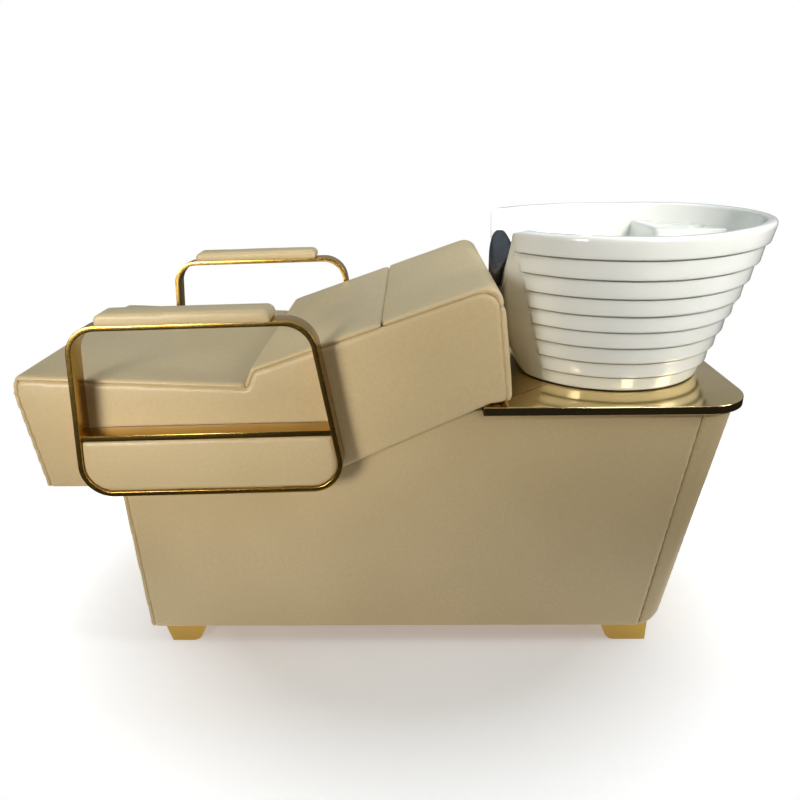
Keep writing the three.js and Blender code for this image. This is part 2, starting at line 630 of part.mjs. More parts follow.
// Distance from the basin's upright axis to a wall that is an oval cut off by a flat front.
function wallRadius(angle, side, rear, frontReach, softness = 7) {
  const radians = THREE.MathUtils.degToRad(angle);
  const towardsFront = Math.cos(radians);
  const long = towardsFront < 0 ? side + rear : side;
  const oval = 1 / Math.hypot(towardsFront / long, Math.sin(radians) / side);
  if (towardsFront < 0.15) return oval;
  return smoothMin(oval, frontReach / towardsFront, softness);
}

function ringPoint(angle, radius, z, centreX = BASIN_CENTRE_X) {
  const radians = THREE.MathUtils.degToRad(angle);
  return [centreX - radius * Math.cos(radians), -radius * Math.sin(radians), z];
}

const ANGLES = ringAngles(44);

function outerRing(z, step, inset = 0, banded = true) {
  return ANGLES.map((angle) => {
    const extra = banded && !onBands(angle) ? 0 : step;
    const radius = wallRadius(angle, sideRadius(z) + extra - inset, rearExtra(z),
      BASIN_CENTRE_X - frontX(z) - inset);
    return ringPoint(angle, radius, z);
  });
}

function liftToRim(ring) {
  return ring.map(([x, y]) => [x, y, rimZ(x)]);
}

function basinBlank() {
  const rings = [];
  BAND_EDGES_Z.forEach((low, i) => {
    const top = BAND_EDGES_Z[i + 1];
    const isRimBand = top === undefined;
    rings.push(outerRing(i === 0 ? low : low + 1.2, i === 0 ? 0 : BAND_STEP, 0, !isRimBand));
    if (!isRimBand) rings.push(outerRing(top - 1.2, -1));
  });
  const shoulder = outerRing(BASIN_RIM_Z, 0, 0, false).map(([x, y]) => [x, y, rimZ(x) - 5]);
  rings.push(shoulder, liftToRim(outerRing(BASIN_RIM_Z, 0, 4, false)));
  return loft(rings);
}

function bowlRing({ depth, round, front }, grow) {
  const floor = BOWL_FLOOR_Z - grow;
  const centreX = THREE.MathUtils.lerp(BASIN_CENTRE_X, DRAIN_X, depth);
  return ANGLES.map((angle) => {
    const oval = (BASIN_RIM_RADIUS - RIM_WIDTH) * round + grow;
    const reach = (BASIN_CENTRE_X - frontX(BASIN_RIM_Z) - FRONT_WALL) * front + (centreX - BASIN_CENTRE_X) + grow;
    const radius = wallRadius(angle, oval, BASIN_RIM_REAR_EXTRA * round, reach, 9);
    const [x, y] = ringPoint(angle, radius, 0, centreX);
    const top = rimZ(x) + 0.01;
    return [x, y, THREE.MathUtils.lerp(top, floor, depth)];
  });
}

function bowlSpace(grow) {
  const rings = BOWL_RINGS.map((ring) => bowlRing(ring, grow));
  const overRim = rings[0].map(([x, y]) => [x, y, BASIN_RIM_Z + 60]);
  return loft([overRim, ...rings]);
}

function undersideHollow() {
  const heights = [BASIN_BOTTOM_Z - 5, 612, 644, 677, 711, 735];
  const inside = loft(heights.map((z) => outerRing(Math.max(z, BASIN_BOTTOM_Z), 0, CERAMIC_SKIN)
    .map(([x, y]) => [x, y, z])));
  return inside.subtract(bowlSpace(CERAMIC_SKIN));
}

function notchZ(y) {
  return NOTCH_BOTTOM_Z + NOTCH_CURVE * y * y;
}

function archBand(halfSpan, below, above, xMin, xMax) {
  const steps = Math.round((2 * halfSpan) / NOTCH_STEP);
  const ys = Array.from({ length: steps + 1 }, (unused, i) => -halfSpan + (2 * halfSpan * i) / steps);
  const lower = ys.map((y) => [y, notchZ(y) + below]);
  const upper = ys.map((y) => [y, typeof above === 'number' ? notchZ(y) + above : above.level]).reverse();
  const geometry = new THREE.ExtrudeGeometry(shapeOf([...lower, ...upper]), { depth: xMax - xMin, bevelEnabled: false });
  geometry.rotateX(Math.PI / 2);
  geometry.rotateZ(Math.PI / 2);
  geometry.translate(xMin, 0, 0);
  return solidFrom(geometry);
}

function addBasin() {
  const blank = basinBlank();
  const ledgeBlock = block(LEDGE.x, 800, LEDGE.y, 340, BOWL_FLOOR_Z, LEDGE.z);
  const ledge = blank.intersect(ledgeBlock);
  const drain = rod(24, 'z', BASIN_BOTTOM_Z - 10, BOWL_FLOOR_Z + 10, DRAIN_X, 0, 32);
  const notch = archBand(NOTCH_HALF_SPAN, 0, { level: BASIN_RIM_Z + 60 }, 120, 290);
  const tapHole = rod(TAP_HOLE.radius, 'z', LEDGE.z - TAP_HOLE.depth, LEDGE.z + 10, TAP_HOLE.x, TAP_HOLE.y, 24);
  const basin = blank.subtract(bowlSpace(0)).add(ledge).subtract(undersideHollow())
    .subtract(drain).subtract(notch).subtract(tapHole);
  addPart('basin', basin, CERAMIC);

  const seatRing = (inset, z) => outerRing(BASIN_BOTTOM_Z, 0, inset).map(([x, y]) => [x, y, z]);
  const gasketLow = DECK_TOP_Z + GAP;
  const gasketHigh = BASIN_BOTTOM_Z - GAP;
  const gasket = loft([seatRing(2, gasketLow), seatRing(2, gasketHigh)])
    .subtract(loft([seatRing(12, gasketLow - 5), seatRing(12, gasketHigh + 5)]));
  addPart('basin_gasket', gasket, GEL_RUBBER);
}

// A gel saddle that lies on the notch edge with a flap down each side of the ceramic.
function addNeckRest() {
  const front = 175.5;
  const rear = 225;
  const pad = archBand(NECK_REST_HALF_SPAN, GAP, NECK_REST_PAD, front - NECK_REST_FLAP, rear + NECK_REST_FLAP);
  const frontFlap = archBand(NECK_REST_HALF_SPAN - NOTCH_STEP, -FLAP_DROP, GAP + 2, front - NECK_REST_FLAP, front);
  const rearFlap = archBand(NECK_REST_HALF_SPAN - NOTCH_STEP, -FLAP_DROP, GAP + 2, rear, rear + NECK_REST_FLAP);
  addPart('neck_rest', pad.add(frontFlap).add(rearFlap), GEL_RUBBER);
}

function addWaste() {
  const flangeZ = BOWL_FLOOR_Z + GAP;
  const tubeBottom = 520;
  addPart('waste_flange', turned([
    [18, tubeBottom], [22, tubeBottom], [22, flangeZ], [40, flangeZ], [38, flangeZ + 2.5], [18, flangeZ + 2.5],
  ], DRAIN_X, 0), CHROME);

  const nutTop = BOWL_FLOOR_Z - CERAMIC_SKIN - GAP;
  addPart('waste_locknut', turned([
    [22 + GAP, nutTop - 10], [33, nutTop - 10], [33, nutTop], [22 + GAP, nutTop],
  ], DRAIN_X, 0, 24), PIPE_PLASTIC);

  const strainerZ = flangeZ + 2.5 + GAP;
  let strainer = turned([[0, strainerZ], [27, strainerZ], [25, strainerZ + 2.2], [5, strainerZ + 3], [5, strainerZ + 10],
    [0, strainerZ + 11]], DRAIN_X, 0);
  const holes = 8;
  for (let i = 0; i < holes; i += 1) {
    const angle = (i * 2 * Math.PI) / holes;
    const [x, y] = [DRAIN_X + 13 * Math.cos(angle), 13 * Math.sin(angle)];
    strainer = strainer.subtract(rod(2.6, 'z', strainerZ - 3, strainerZ + 6, x, y, 8));
  }
  addPart('hair_strainer', strainer, CHROME);

  const trapTop = 560;
  const trapBottom = 450;
  const socket = 22 + GAP;
  const bottle = turned([
    [0, trapBottom], [30, trapBottom], [32, trapBottom + 4], [32, trapTop - 22], [27, trapTop - 14],
    [27, trapTop], [socket, trapTop], [socket, tubeBottom - 4], [0, tubeBottom - 4],
  ], DRAIN_X, 0);
  const outletZ = 490;
  const outlet = rod(20, 'y', 0, 46, 0, 0, 24).rotate([0, 0, 90]).translate([DRAIN_X, 0, outletZ]);
  const outletBore = rod(16 + GAP, 'y', 34, 60, 0, 0, 24).rotate([0, 0, 90]).translate([DRAIN_X, 0, outletZ]);
  addPart('trap_body', bottle.add(outlet).subtract(outletBore), PIPE_PLASTIC);

  const ring = new THREE.Shape().absarc(0, 0, 16, 0, 2 * Math.PI, false);
  ring.holes.push(new THREE.Path().absarc(0, 0, 13.5, 0, 2 * Math.PI, true));
  const path = new THREE.CurvePath();
  const elbow = new THREE.Vector3(340, 0, outletZ);
  const elbowStart = new THREE.Vector3(380, 0, outletZ);
  const elbowEnd = new THREE.Vector3(340, 0, outletZ - 40);
  path.add(new THREE.LineCurve3(new THREE.Vector3(DRAIN_X - 34.5, 0, outletZ), elbowStart));
  path.add(new THREE.QuadraticBezierCurve3(elbowStart, elbow, elbowEnd));
  path.add(new THREE.LineCurve3(elbowEnd, new THREE.Vector3(340, 0, 25)));
  const pipe = new THREE.ExtrudeGeometry(ring, { steps: 14, curveSegments: 6, extrudePath: path });
  addPart('waste_pipe', solidFrom(pipe), PIPE_PLASTIC);
}

// ---------------------------------------------------------------- arms
// The arm is drawn level about its own centre, then the whole arm leans up towards the back.
const ARM_CORNERS = [[-254, -167], [263, -167], [215.5, 170.5], [-222.5, 170.5]];
const MID_BAR_Z = -45.5;
const PAD_ENDS = [-163, 146];
const PAD_SCREWS = [-120, 82];
const PAD_SCREW_RADIUS = 2.5;

function armOutline(inset) {
  const radius = ARM_CORNER_RADIUS - inset;
  const corners = insetOutline(ARM_CORNERS, ARM_CORNERS.map(() => inset));
  return roundedOutline(corners.map(([x, z]) => [x, z, radius]), 7);
}

function armSpan(inset, zLow, zHigh, yMin, yMax) {
  const inside = sidePrism(armOutline(inset), yMin, yMax);
  return inside.intersect(block(-400, 400, yMin - 1, yMax + 1, zLow, zHigh));
}

function addArm(side, sign) {
  const arm = new THREE.Group();
  arm.name = `arm_${side}`;
  arm.position.set(ARM_CENTRE[0], 0, ARM_CENTRE[1]);
  arm.rotation.y = THREE.MathUtils.degToRad(-ARM_TILT_DEGREES);
  unit.add(arm);

  const [low, high] = across(sign, ARM_OUTER_Y - ARM_DEPTH, ARM_OUTER_Y);
  const middleY = (low + high) / 2;
  const screwHoles = (solid, radius, from, to) => PAD_SCREWS.reduce(
    (left, x) => left.subtract(rod(radius, 'z', from, to, x, middleY, 12)), solid);

  const loop = sidePrism(armOutline(0), low, high).subtract(sidePrism(armOutline(ARM_BAR), low - 5, high + 5));
  const barTop = ARM_CORNERS[2][1];
  const barUnder = barTop - ARM_BAR;
  addPart(`arm_loop_${side}`, screwHoles(loop, PAD_SCREW_RADIUS + GAP, barUnder - 3, barTop + 3), GOLD, arm);

  const midLow = MID_BAR_Z - ARM_MID_BAR / 2;
  const midHigh = MID_BAR_Z + ARM_MID_BAR / 2;
  addPart(`arm_mid_bar_${side}`, armSpan(ARM_BAR + GAP, midLow, midHigh, low + 1, high - 1), GOLD, arm);

  const [panelLow, panelHigh] = across(sign, BODY_HALF_WIDTH + GAP, ARM_OUTER_Y - 4);
  let panel = armSpan(ARM_BAR + GAP, -300, midLow - GAP, panelLow, panelHigh);
  const [holeLow, holeHigh] = across(sign, BODY_HALF_WIDTH - 5, BODY_HALF_WIDTH + 26);
  const tilt = THREE.MathUtils.degToRad(ARM_TILT_DEGREES);
  for (const bolt of ARM_BOLTS) {
    const [dx, dz] = [bolt.x - ARM_CENTRE[0], bolt.z - ARM_CENTRE[1]];
    const x = dx * Math.cos(tilt) + dz * Math.sin(tilt);
    const z = dz * Math.cos(tilt) - dx * Math.sin(tilt);
    panel = panel.subtract(rod(BOLT_RADIUS + GAP, 'y', holeLow, holeHigh, x, z));
  }
  addPart(`arm_infill_panel_${side}`, panel, LEATHER, arm);

  const padZ = barTop + GAP;
  const padOutline = roundedOutline([
    [PAD_ENDS[0], padZ, 5], [PAD_ENDS[1], padZ, 5],
    [PAD_ENDS[1], padZ + PAD_THICKNESS, 12], [PAD_ENDS[0], padZ + PAD_THICKNESS, 12],
  ], 5);
  const pad = sidePrism(padOutline, middleY - PAD_WIDTH / 2, middleY + PAD_WIDTH / 2);
  addPart(`arm_pad_${side}`, screwHoles(pad, PAD_SCREW_RADIUS + GAP, padZ - 2, padZ + 15), LEATHER, arm);

  PAD_SCREWS.forEach((x, i) => {
    const shank = rod(PAD_SCREW_RADIUS, 'z', barUnder - GAP - 1, padZ + 14, x, middleY, 12);
    const head = rod(4.5, 'z', barUnder - GAP - 3, barUnder - GAP, x, middleY, 12);
    addPart(`pad_screw_${side}_${i + 1}`, shank.add(head), STEEL, arm);
  });
}

function addArmBolts(side, sign) {
  ARM_BOLTS.forEach((bolt, i) => {
    const [shankLow, shankHigh] = across(sign, boardInnerY - 1, BODY_HALF_WIDTH + 25);
    const [headLow, headHigh] = across(sign, boardInnerY - 6, boardInnerY - GAP);
    const shank = rod(BOLT_RADIUS, 'y', shankLow, shankHigh, bolt.x, bolt.z, 12);
    const head = rod(7.5, 'y', headLow, headHigh, bolt.x, bolt.z, 6);
    addPart(`arm_bolt_${side}_${i + 1}`, shank.add(head), STEEL);
  });
}

addCushions();
addEndCovers();
addChairSides();
addChairFrame();
addBaseSides();
addBaseFront();
addBaseRear();
addBaseFrame();
addLegs();
addDeck();
addBasin();
addNeckRest();
addWaste();
for (const { side, sign } of SIDES) {
  addArm(side, sign);
  addArmBolts(side, sign);
}

// The drawing is measured from a point in the chair; the finished unit has its origin at its middle.
const basinRearX = BASIN_CENTRE_X + BASIN_RIM_RADIUS + BASIN_RIM_REAR_EXTRA;
unit.position.x = -(SEAT_NOSE[0] + basinRearX) / 2;

export default unit;
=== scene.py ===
"""Looks for the shampoo backwash unit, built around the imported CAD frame. Metres, +Z up."""

import json
import math

import bmesh
import bpy
import numpy as np
from mathutils import Matrix, Vector, noise
from mathutils.kdtree import KDTree


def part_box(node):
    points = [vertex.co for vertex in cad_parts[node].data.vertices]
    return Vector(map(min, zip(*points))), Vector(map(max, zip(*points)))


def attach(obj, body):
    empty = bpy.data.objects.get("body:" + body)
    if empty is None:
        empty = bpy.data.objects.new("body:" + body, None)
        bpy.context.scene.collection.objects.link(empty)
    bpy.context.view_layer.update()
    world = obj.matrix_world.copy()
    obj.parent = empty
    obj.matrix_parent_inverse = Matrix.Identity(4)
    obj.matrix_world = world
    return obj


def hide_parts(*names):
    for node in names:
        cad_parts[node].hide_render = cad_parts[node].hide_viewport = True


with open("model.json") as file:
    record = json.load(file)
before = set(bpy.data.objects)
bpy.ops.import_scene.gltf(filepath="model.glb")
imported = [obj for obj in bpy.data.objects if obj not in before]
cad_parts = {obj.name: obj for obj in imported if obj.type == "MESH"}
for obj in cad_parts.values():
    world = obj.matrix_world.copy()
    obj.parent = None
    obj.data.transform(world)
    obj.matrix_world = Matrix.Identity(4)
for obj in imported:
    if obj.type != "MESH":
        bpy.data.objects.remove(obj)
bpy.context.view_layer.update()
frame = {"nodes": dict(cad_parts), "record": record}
SIDES = {"left": -1, "right": 1}


# ------------------------------------------------------------------ camera, lights and floor
CAMERA_PLACE = Vector((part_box("seat_front_cover")[0].x + 0.753, -1.522, 1.0745))
CAMERA_PITCH = math.radians(21.24)
CAMERA_YAW = math.radians(-0.91)
CAMERA_ROLL = math.radians(-0.76)
CAMERA_LENS = 31.54


def add_camera():
    camera = bpy.data.objects.new("camera", bpy.data.cameras.new("camera"))
    bpy.context.scene.collection.objects.link(camera)
    forward = Vector((
        math.sin(CAMERA_YAW) * math.cos(CAMERA_PITCH),
        math.cos(CAMERA_YAW) * math.cos(CAMERA_PITCH),
        -math.sin(CAMERA_PITCH)))
    level_right = Vector((math.cos(CAMERA_YAW), -math.sin(CAMERA_YAW), 0))
    level_up = level_right.cross(forward)
    right = level_right * math.cos(CAMERA_ROLL) + level_up * math.sin(CAMERA_ROLL)
    up = level_up * math.cos(CAMERA_ROLL) - level_right * math.sin(CAMERA_ROLL)
    turn = Matrix((right, up, -forward)).transposed()
    camera.matrix_world = Matrix.Translation(CAMERA_PLACE) @ turn.to_4x4()
    camera.data.lens = CAMERA_LENS
    camera.data.sensor_width = 36
    bpy.context.scene.camera = camera


def add_softbox(name, place, target, width, height, power, colour=(1, 1, 1), spread=180):
    light = bpy.data.lights.new(name, "AREA")
    light.spread = math.radians(spread)
    light.shape = "RECTANGLE"
    light.size = width
    light.size_y = height
    light.energy = power
    light.color = colour
    lamp = bpy.data.objects.new(name, light)
    bpy.context.scene.collection.objects.link(lamp)
    lamp.location = place
    lamp.rotation_mode = "QUATERNION"
    lamp.rotation_quaternion = (Vector(target) - Vector(place)).to_track_quat("-Z", "Y")


def add_studio():
    add_softbox("key_light", (-1.5, -2.2, 1.0), (-0.52, -0.25, 0.76), 1.0, 0.8, 3.7, (1.0, 0.96, 0.89), 39)
    add_softbox("top_light", (0.1, 0.5, 2.6), (0.1, 0, 0.6), 1.8, 1.2, 15, (0.66, 0.86, 1.0))
    add_softbox("window_light", (1.9, -0.7, 1.5), (0.45, 0, 0.80), 0.6, 1.0, 3.4, (0.97, 0.99, 1.0), 70)
    add_softbox("front_light", (1.1, -2.0, 1.9), (0.5, 0, 0.98), 0.5, 0.5, 1.9, (1.0, 0.99, 0.96), 30)
    world = bpy.data.worlds.new("studio")
    bpy.context.scene.world = world
    world.use_nodes = True
    tree = world.node_tree
    tree.nodes.clear()
    output = tree.nodes.new("ShaderNodeOutputWorld")
    seen = tree.nodes.new("ShaderNodeBackground")
    seen.inputs["Color"].default_value = (1, 1, 1, 1)
    seen.inputs["Strength"].default_value = 1.0
    room = tree.nodes.new("ShaderNodeBackground")
    room.inputs["Strength"].default_value = 0.36
    place = tree.nodes.new("ShaderNodeTexCoord")
    split = tree.nodes.new("ShaderNodeSeparateXYZ")
    tree.links.new(place.outputs["Generated"], split.inputs[0])
    height = tree.nodes.new("ShaderNodeValToRGB")
    height.color_ramp.elements[0].position = 0.0
    height.color_ramp.elements[0].color = (0.05, 0.045, 0.035, 1)
    height.color_ramp.elements[1].position = 0.6
    height.color_ramp.elements[1].color = (1.0, 1.0, 1.0, 1)
    lean = tree.nodes.new("ShaderNodeMath")
    lean.operation = "MULTIPLY_ADD"
    lean.inputs[1].default_value = 0.45
    tree.links.new(split.outputs["Y"], lean.inputs[0])
    tree.links.new(split.outputs["Z"], lean.inputs[2])
    tree.links.new(lean.outputs[0], height.inputs["Fac"])
    tree.links.new(height.outputs["Color"], room.inputs["Color"])
    path = tree.nodes.new("ShaderNodeLightPath")
    mix = tree.nodes.new("ShaderNodeMixShader")
    tree.links.new(path.outputs["Is Camera Ray"], mix.inputs["Fac"])
    tree.links.new(room.outputs[0], mix.inputs[1])
    tree.links.new(seen.outputs[0], mix.inputs[2])
    tree.links.new(mix.outputs[0], output.inputs["Surface"])


# ------------------------------------------------------------------ materials
def srgb(red, green, blue):
    """A linear colour from the 0-255 numbers that it has on a screen."""
    def linear(value):
        value /= 255
        return value / 12.92 if value <= 0.04045 else ((value + 0.055) / 1.055) ** 2.4
    return linear(red), linear(green), linear(blue), 1


class Look:
    """A small builder for one procedural material, in object space, so scales are per metre."""

    def __init__(self, name, colour, roughness, metallic=0.0, **sockets):
        self.material = bpy.data.materials.new(name)
        self.material.use_nodes = True
        self.tree = self.material.node_tree
        self.shader = self.tree.nodes["Principled BSDF"]
        self.place = self.add("ShaderNodeTexCoord").outputs["Object"]
        self.shader.inputs["Base Color"].default_value = colour
        self.shader.inputs["Roughness"].default_value = roughness
        self.shader.inputs["Metallic"].default_value = metallic
        for socket, value in sockets.items():
            self.shader.inputs[socket.replace("_", " ")].default_value = value
        self.normal = None

    def add(self, kind):
        return self.tree.nodes.new(kind)

    def link(self, output, target):
        self.tree.links.new(output, target)

    def stretched(self, scale, turn=(0, 0, 0)):
        mapping = self.add("ShaderNodeMapping")
        mapping.inputs["Scale"].default_value = scale
        mapping.inputs["Rotation"].default_value = turn
        self.link(self.place, mapping.inputs["Vector"])
        return mapping.outputs[0]

    def noise(self, scale, detail=3.0, roughness=0.5, place=None, distortion=0.0):
        texture = self.add("ShaderNodeTexNoise")
        texture.inputs["Scale"].default_value = scale
        texture.inputs["Detail"].default_value = detail
        texture.inputs["Roughness"].default_value = roughness
        texture.inputs["Distortion"].default_value = distortion
        self.link(place or self.place, texture.inputs["Vector"])
        return texture.outputs["Fac"]

    def cells(self, scale, feature="F1", place=None):
        texture = self.add("ShaderNodeTexVoronoi")
        texture.feature = feature
        texture.inputs["Scale"].default_value = scale
        self.link(place or self.place, texture.inputs["Vector"])
        return texture.outputs["Distance"]

    def spread(self, value, low, high, to_low=0.0, to_high=1.0):
        ranger = self.add("ShaderNodeMapRange")
        numbers = {"From Min": low, "From Max": high, "To Min": to_low, "To Max": to_high}
        for socket, number in numbers.items():
            ranger.inputs[socket].default_value = number
        self.link(value, ranger.inputs["Value"])
        return ranger.outputs[0]

    def mixed(self, share, first, second):
        mix = self.add("ShaderNodeMix")
        mix.data_type = "RGBA"
        self.link(share, mix.inputs["Factor"])
        for socket, colour in ((mix.inputs[6], first), (mix.inputs[7], second)):
            if isinstance(colour, tuple):
                socket.default_value = colour
            else:
                self.link(colour, socket)
        return mix.outputs[2]

    def colour(self, output):
        self.link(output, self.shader.inputs["Base Color"])
        return self

    def roughness(self, output):
        self.link(output, self.shader.inputs["Roughness"])
        return self

    def bump(self, height, distance, strength=1.0):
        bump = self.add("ShaderNodeBump")
        bump.inputs["Distance"].default_value = distance
        bump.inputs["Strength"].default_value = strength
        self.link(height, bump.inputs["Height"])
        if self.normal:
            self.link(self.normal, bump.inputs["Normal"])
        self.normal = bump.outputs[0]
        self.link(self.normal, self.shader.inputs["Normal"])
        return self


def leather_look(name="champagne_leather", tone=(212, 190, 146), shade=(205, 183, 139)):
    look = Look(name, srgb(*tone), 0.45, Coat_Weight=0.12, Coat_Roughness=0.35, Specular_IOR_Level=0.45)
    broad = look.spread(look.noise(3.5, 2), 0.35, 0.65)
    base = look.mixed(broad, srgb(*shade), srgb(*tone))
    mottling = look.spread(look.noise(160, 3), 0.3, 0.7, 0.0, 0.35)
    mottled = look.mixed(mottling, base, srgb(*[v * 0.93 for v in shade]))
    pores = look.cells(720)
    pore_share = look.spread(pores, 0.0, 0.35, 0.22, 0.0)
    look.colour(look.mixed(pore_share, mottled, srgb(*[v * 0.78 for v in shade])))
    look.roughness(look.spread(look.noise(90, 4), 0.3, 0.7, 0.36, 0.52))
    look.bump(look.noise(14, 2, 0.5, distortion=0.4), 0.0012, 0.35)
    look.bump(look.noise(75, 3, 0.6, distortion=0.8), 0.00035, 0.5)
    look.bump(look.cells(720), 0.00012, 0.5)
    return look.material


def gold_look(name, colour, roughness, brushed):
    look = Look(name, srgb(*colour), roughness, 1.0)
    tint = look.spread(look.noise(9, 2), 0.35, 0.65)
    look.colour(look.mixed(tint, srgb(*[v * 0.95 for v in colour]), srgb(*colour)))
    lines = look.noise(1.0, 3, 0.6, place=look.stretched((30, 2600, 2600)))
    look.roughness(look.spread(lines, 0.3, 0.7, roughness * 0.75, roughness * 1.25))
    look.bump(lines, 0.00002, brushed)
    look.bump(look.noise(7, 2), 0.0006, 0.12)
    return look.material


def ceramic_look(name="white_glaze", tone=(240, 240, 234), shade=(230, 231, 224), roughness=0.07):
    look = Look(name, srgb(*tone), roughness, Coat_Weight=0.4, Coat_Roughness=0.03, IOR=1.52)
    look.colour(look.mixed(look.spread(look.noise(5, 2), 0.35, 0.65), srgb(*shade), srgb(*tone)))
    look.roughness(look.spread(look.noise(35, 3), 0.3, 0.7, roughness * 0.7, roughness * 1.5))
    look.bump(look.noise(11, 2, 0.4), 0.0016, 0.35)
    look.bump(look.noise(320, 2), 0.00003, 0.4)
    return look.material


def rubber_look():
    look = Look("black_gel", srgb(20, 21, 23), 0.5, Specular_IOR_Level=0.35)
    look.colour(look.mixed(look.spread(look.noise(60, 3), 0.35, 0.7), srgb(16, 17, 19), srgb(27, 28, 31)))
    look.roughness(look.spread(look.noise(130, 3), 0.3, 0.7, 0.36, 0.52))
    look.bump(look.noise(24, 2), 0.0008, 0.4)
    look.bump(look.cells(1100), 0.00006, 0.5)
    return look.material


def wood_look():
    look = Look("birch_plywood", srgb(196, 160, 112), 0.62)
    grain = look.noise(1.0, 5, 0.62, place=look.stretched((6, 90, 90)), distortion=0.9)
    plies = look.noise(1.0, 1, 0.4, place=look.stretched((3, 3, 640)))
    base = look.mixed(look.spread(grain, 0.35, 0.65), srgb(171, 130, 84), srgb(211, 177, 128))
    look.colour(look.mixed(look.spread(plies, 0.45, 0.6, 0.0, 0.35), base, srgb(150, 110, 70)))
    look.roughness(look.spread(grain, 0.3, 0.7, 0.55, 0.72))
    look.bump(grain, 0.0003, 0.4)
    return look.material


def liner_look():
    look = Look("black_liner", srgb(36, 36, 39), 0.9, Sheen_Weight=0.2)
    fibres = look.noise(900, 4, 0.7, distortion=2.0)
    look.colour(look.mixed(look.spread(fibres, 0.35, 0.65), srgb(26, 26, 29), srgb(52, 52, 56)))
    look.bump(fibres, 0.0002, 0.6)
    look.bump(look.cells(330), 0.0003, 0.3)
    return look.material


def metal_look(name, colour, roughness):
    look = Look(name, srgb(*colour), roughness, 1.0)
    tint = look.spread(look.noise(40, 3), 0.35, 0.65)
    look.colour(look.mixed(tint, srgb(*[v * 0.93 for v in colour]), srgb(*colour)))
    look.roughness(look.spread(look.noise(220, 3), 0.3, 0.7, roughness * 0.7, roughness * 1.4))
    look.bump(look.noise(400, 2), 0.00002, 0.4)
    return look.material


def plastic_look():
    look = Look("pipe_plastic", srgb(222, 222, 216), 0.45)
    tint = look.spread(look.noise(18, 2), 0.35, 0.65)
    look.colour(look.mixed(tint, srgb(208, 208, 201), srgb(224, 224, 219)))
    look.roughness(look.spread(look.noise(200, 2), 0.3, 0.7, 0.38, 0.52))
    look.bump(look.noise(700, 2), 0.00004, 0.5)
    return look.material


def floor_look():
    look = Look("pale_glowing_floor", (0.93, 0.93, 0.93, 1), 0.75, Emission_Color=(1, 1, 1, 1))
    reach = look.add("ShaderNodeVectorMath")
    reach.operation = "LENGTH"
    look.link(look.place, reach.inputs[0])
    # Painted glow: the floor emits light, weakest near the middle and strongest at its edge, so it lights the
    # piece from below and fades into the white.
    glow = look.spread(reach.outputs["Value"], 0.45, 1.05, 0.22, 1.0)
    look.link(glow, look.shader.inputs["Emission Strength"])
    tint = look.spread(look.noise(2, 2), 0.3, 0.7)
    look.colour(look.mixed(tint, (0.92, 0.92, 0.92, 1), (0.94, 0.94, 0.94, 1)))
    return look.material


FLOOR_RADIUS, FLOOR_BACK = 1.0, 0.15


def add_floor():
    """A pale round floor with a painted glow (emission) that rises towards its edge; beyond it the camera
    sees white.
    """
    steps = 128
    angles = [2 * math.pi * k / steps for k in range(steps)]
    rim = [(FLOOR_RADIUS * math.cos(a), FLOOR_BACK + FLOOR_RADIUS * math.sin(a), 0) for a in angles]
    new_object("floor", rim, [tuple(range(steps))], [floor_look()], False)


LEATHER = leather_look()
GOLD = gold_look("brushed_gold", (196, 160, 84), 0.22, 0.3)
MIRROR_GOLD = gold_look("mirror_gold", (228, 206, 152), 0.15, 0.1)
GLAZE = ceramic_look()
# The darker glaze on the bands' grooves is painted shade: it stands in for the shadow under each band's
# overhang.
GLAZE_GROOVE_SHADE = ceramic_look("glaze_painted_groove_shade", (172, 171, 161), (156, 155, 146), 0.3)
GEL = rubber_look()
WOOD = wood_look()
LINER = liner_look()
CHROME = metal_look("polished_chrome", (214, 216, 219), 0.1)
STEEL = metal_look("zinc_steel", (150, 152, 156), 0.34)
PLASTIC = plastic_look()
SLOT_LOOKS = {
    "leather": LEATHER, "gold_steel": GOLD, "ceramic": GLAZE, "wood": WOOD, "liner": LINER,
    "gel_rubber": GEL, "chrome": CHROME, "pipe_plastic": PLASTIC, "fixing_steel": STEEL,
}


# ------------------------------------------------------------------ mesh helpers
def new_object(name, vertices, faces, materials=(), smooth=True):
    mesh = bpy.data.meshes.new(name)
    mesh.from_pydata([tuple(v) for v in vertices], [], [tuple(f) for f in faces])
    mesh.update()
    piece = bpy.data.objects.new(name, mesh)
    bpy.context.scene.collection.objects.link(piece)
    for material in materials:
        mesh.materials.append(material)
    if smooth:
        mesh.shade_smooth()
    return piece


def belongs(piece, slot, *nodes, body="unit"):
    """Puts a finished piece on its CAD body in place of the CAD nodes it stands for."""
    if nodes:
        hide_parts(*nodes)
    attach(piece, body)
    return piece


def apply_modifiers(piece):
    graph = bpy.context.evaluated_depsgraph_get()
    mesh = bpy.data.meshes.new_from_object(piece.evaluated_get(graph))
    piece.modifiers.clear()
    piece.data = mesh
    return piece


def outward(piece):
    work = bmesh.new()
    work.from_mesh(piece.data)
    bmesh.ops.recalc_face_normals(work, faces=work.faces)
    work.to_mesh(piece.data)
    work.free()
    return piece


def shade_by_angle(piece, degrees=35):
    piece.data.shade_smooth()
    piece.data.set_sharp_from_angle(angle=math.radians(degrees))
    return piece


def cad_copy(node, name):
    """A welded copy of a CAD node's mesh with its flat faces whole again."""
    work = bmesh.new()
    work.from_mesh(frame["nodes"][node].data)
    bmesh.ops.remove_doubles(work, verts=work.verts, dist=1e-5)
    bmesh.ops.dissolve_limit(work, angle_limit=math.radians(0.5), verts=work.verts, edges=work.edges)
    mesh = bpy.data.meshes.new(name)
    work.to_mesh(mesh)
    work.free()
    piece = bpy.data.objects.new(name, mesh)
    bpy.context.scene.collection.objects.link(piece)
    return piece


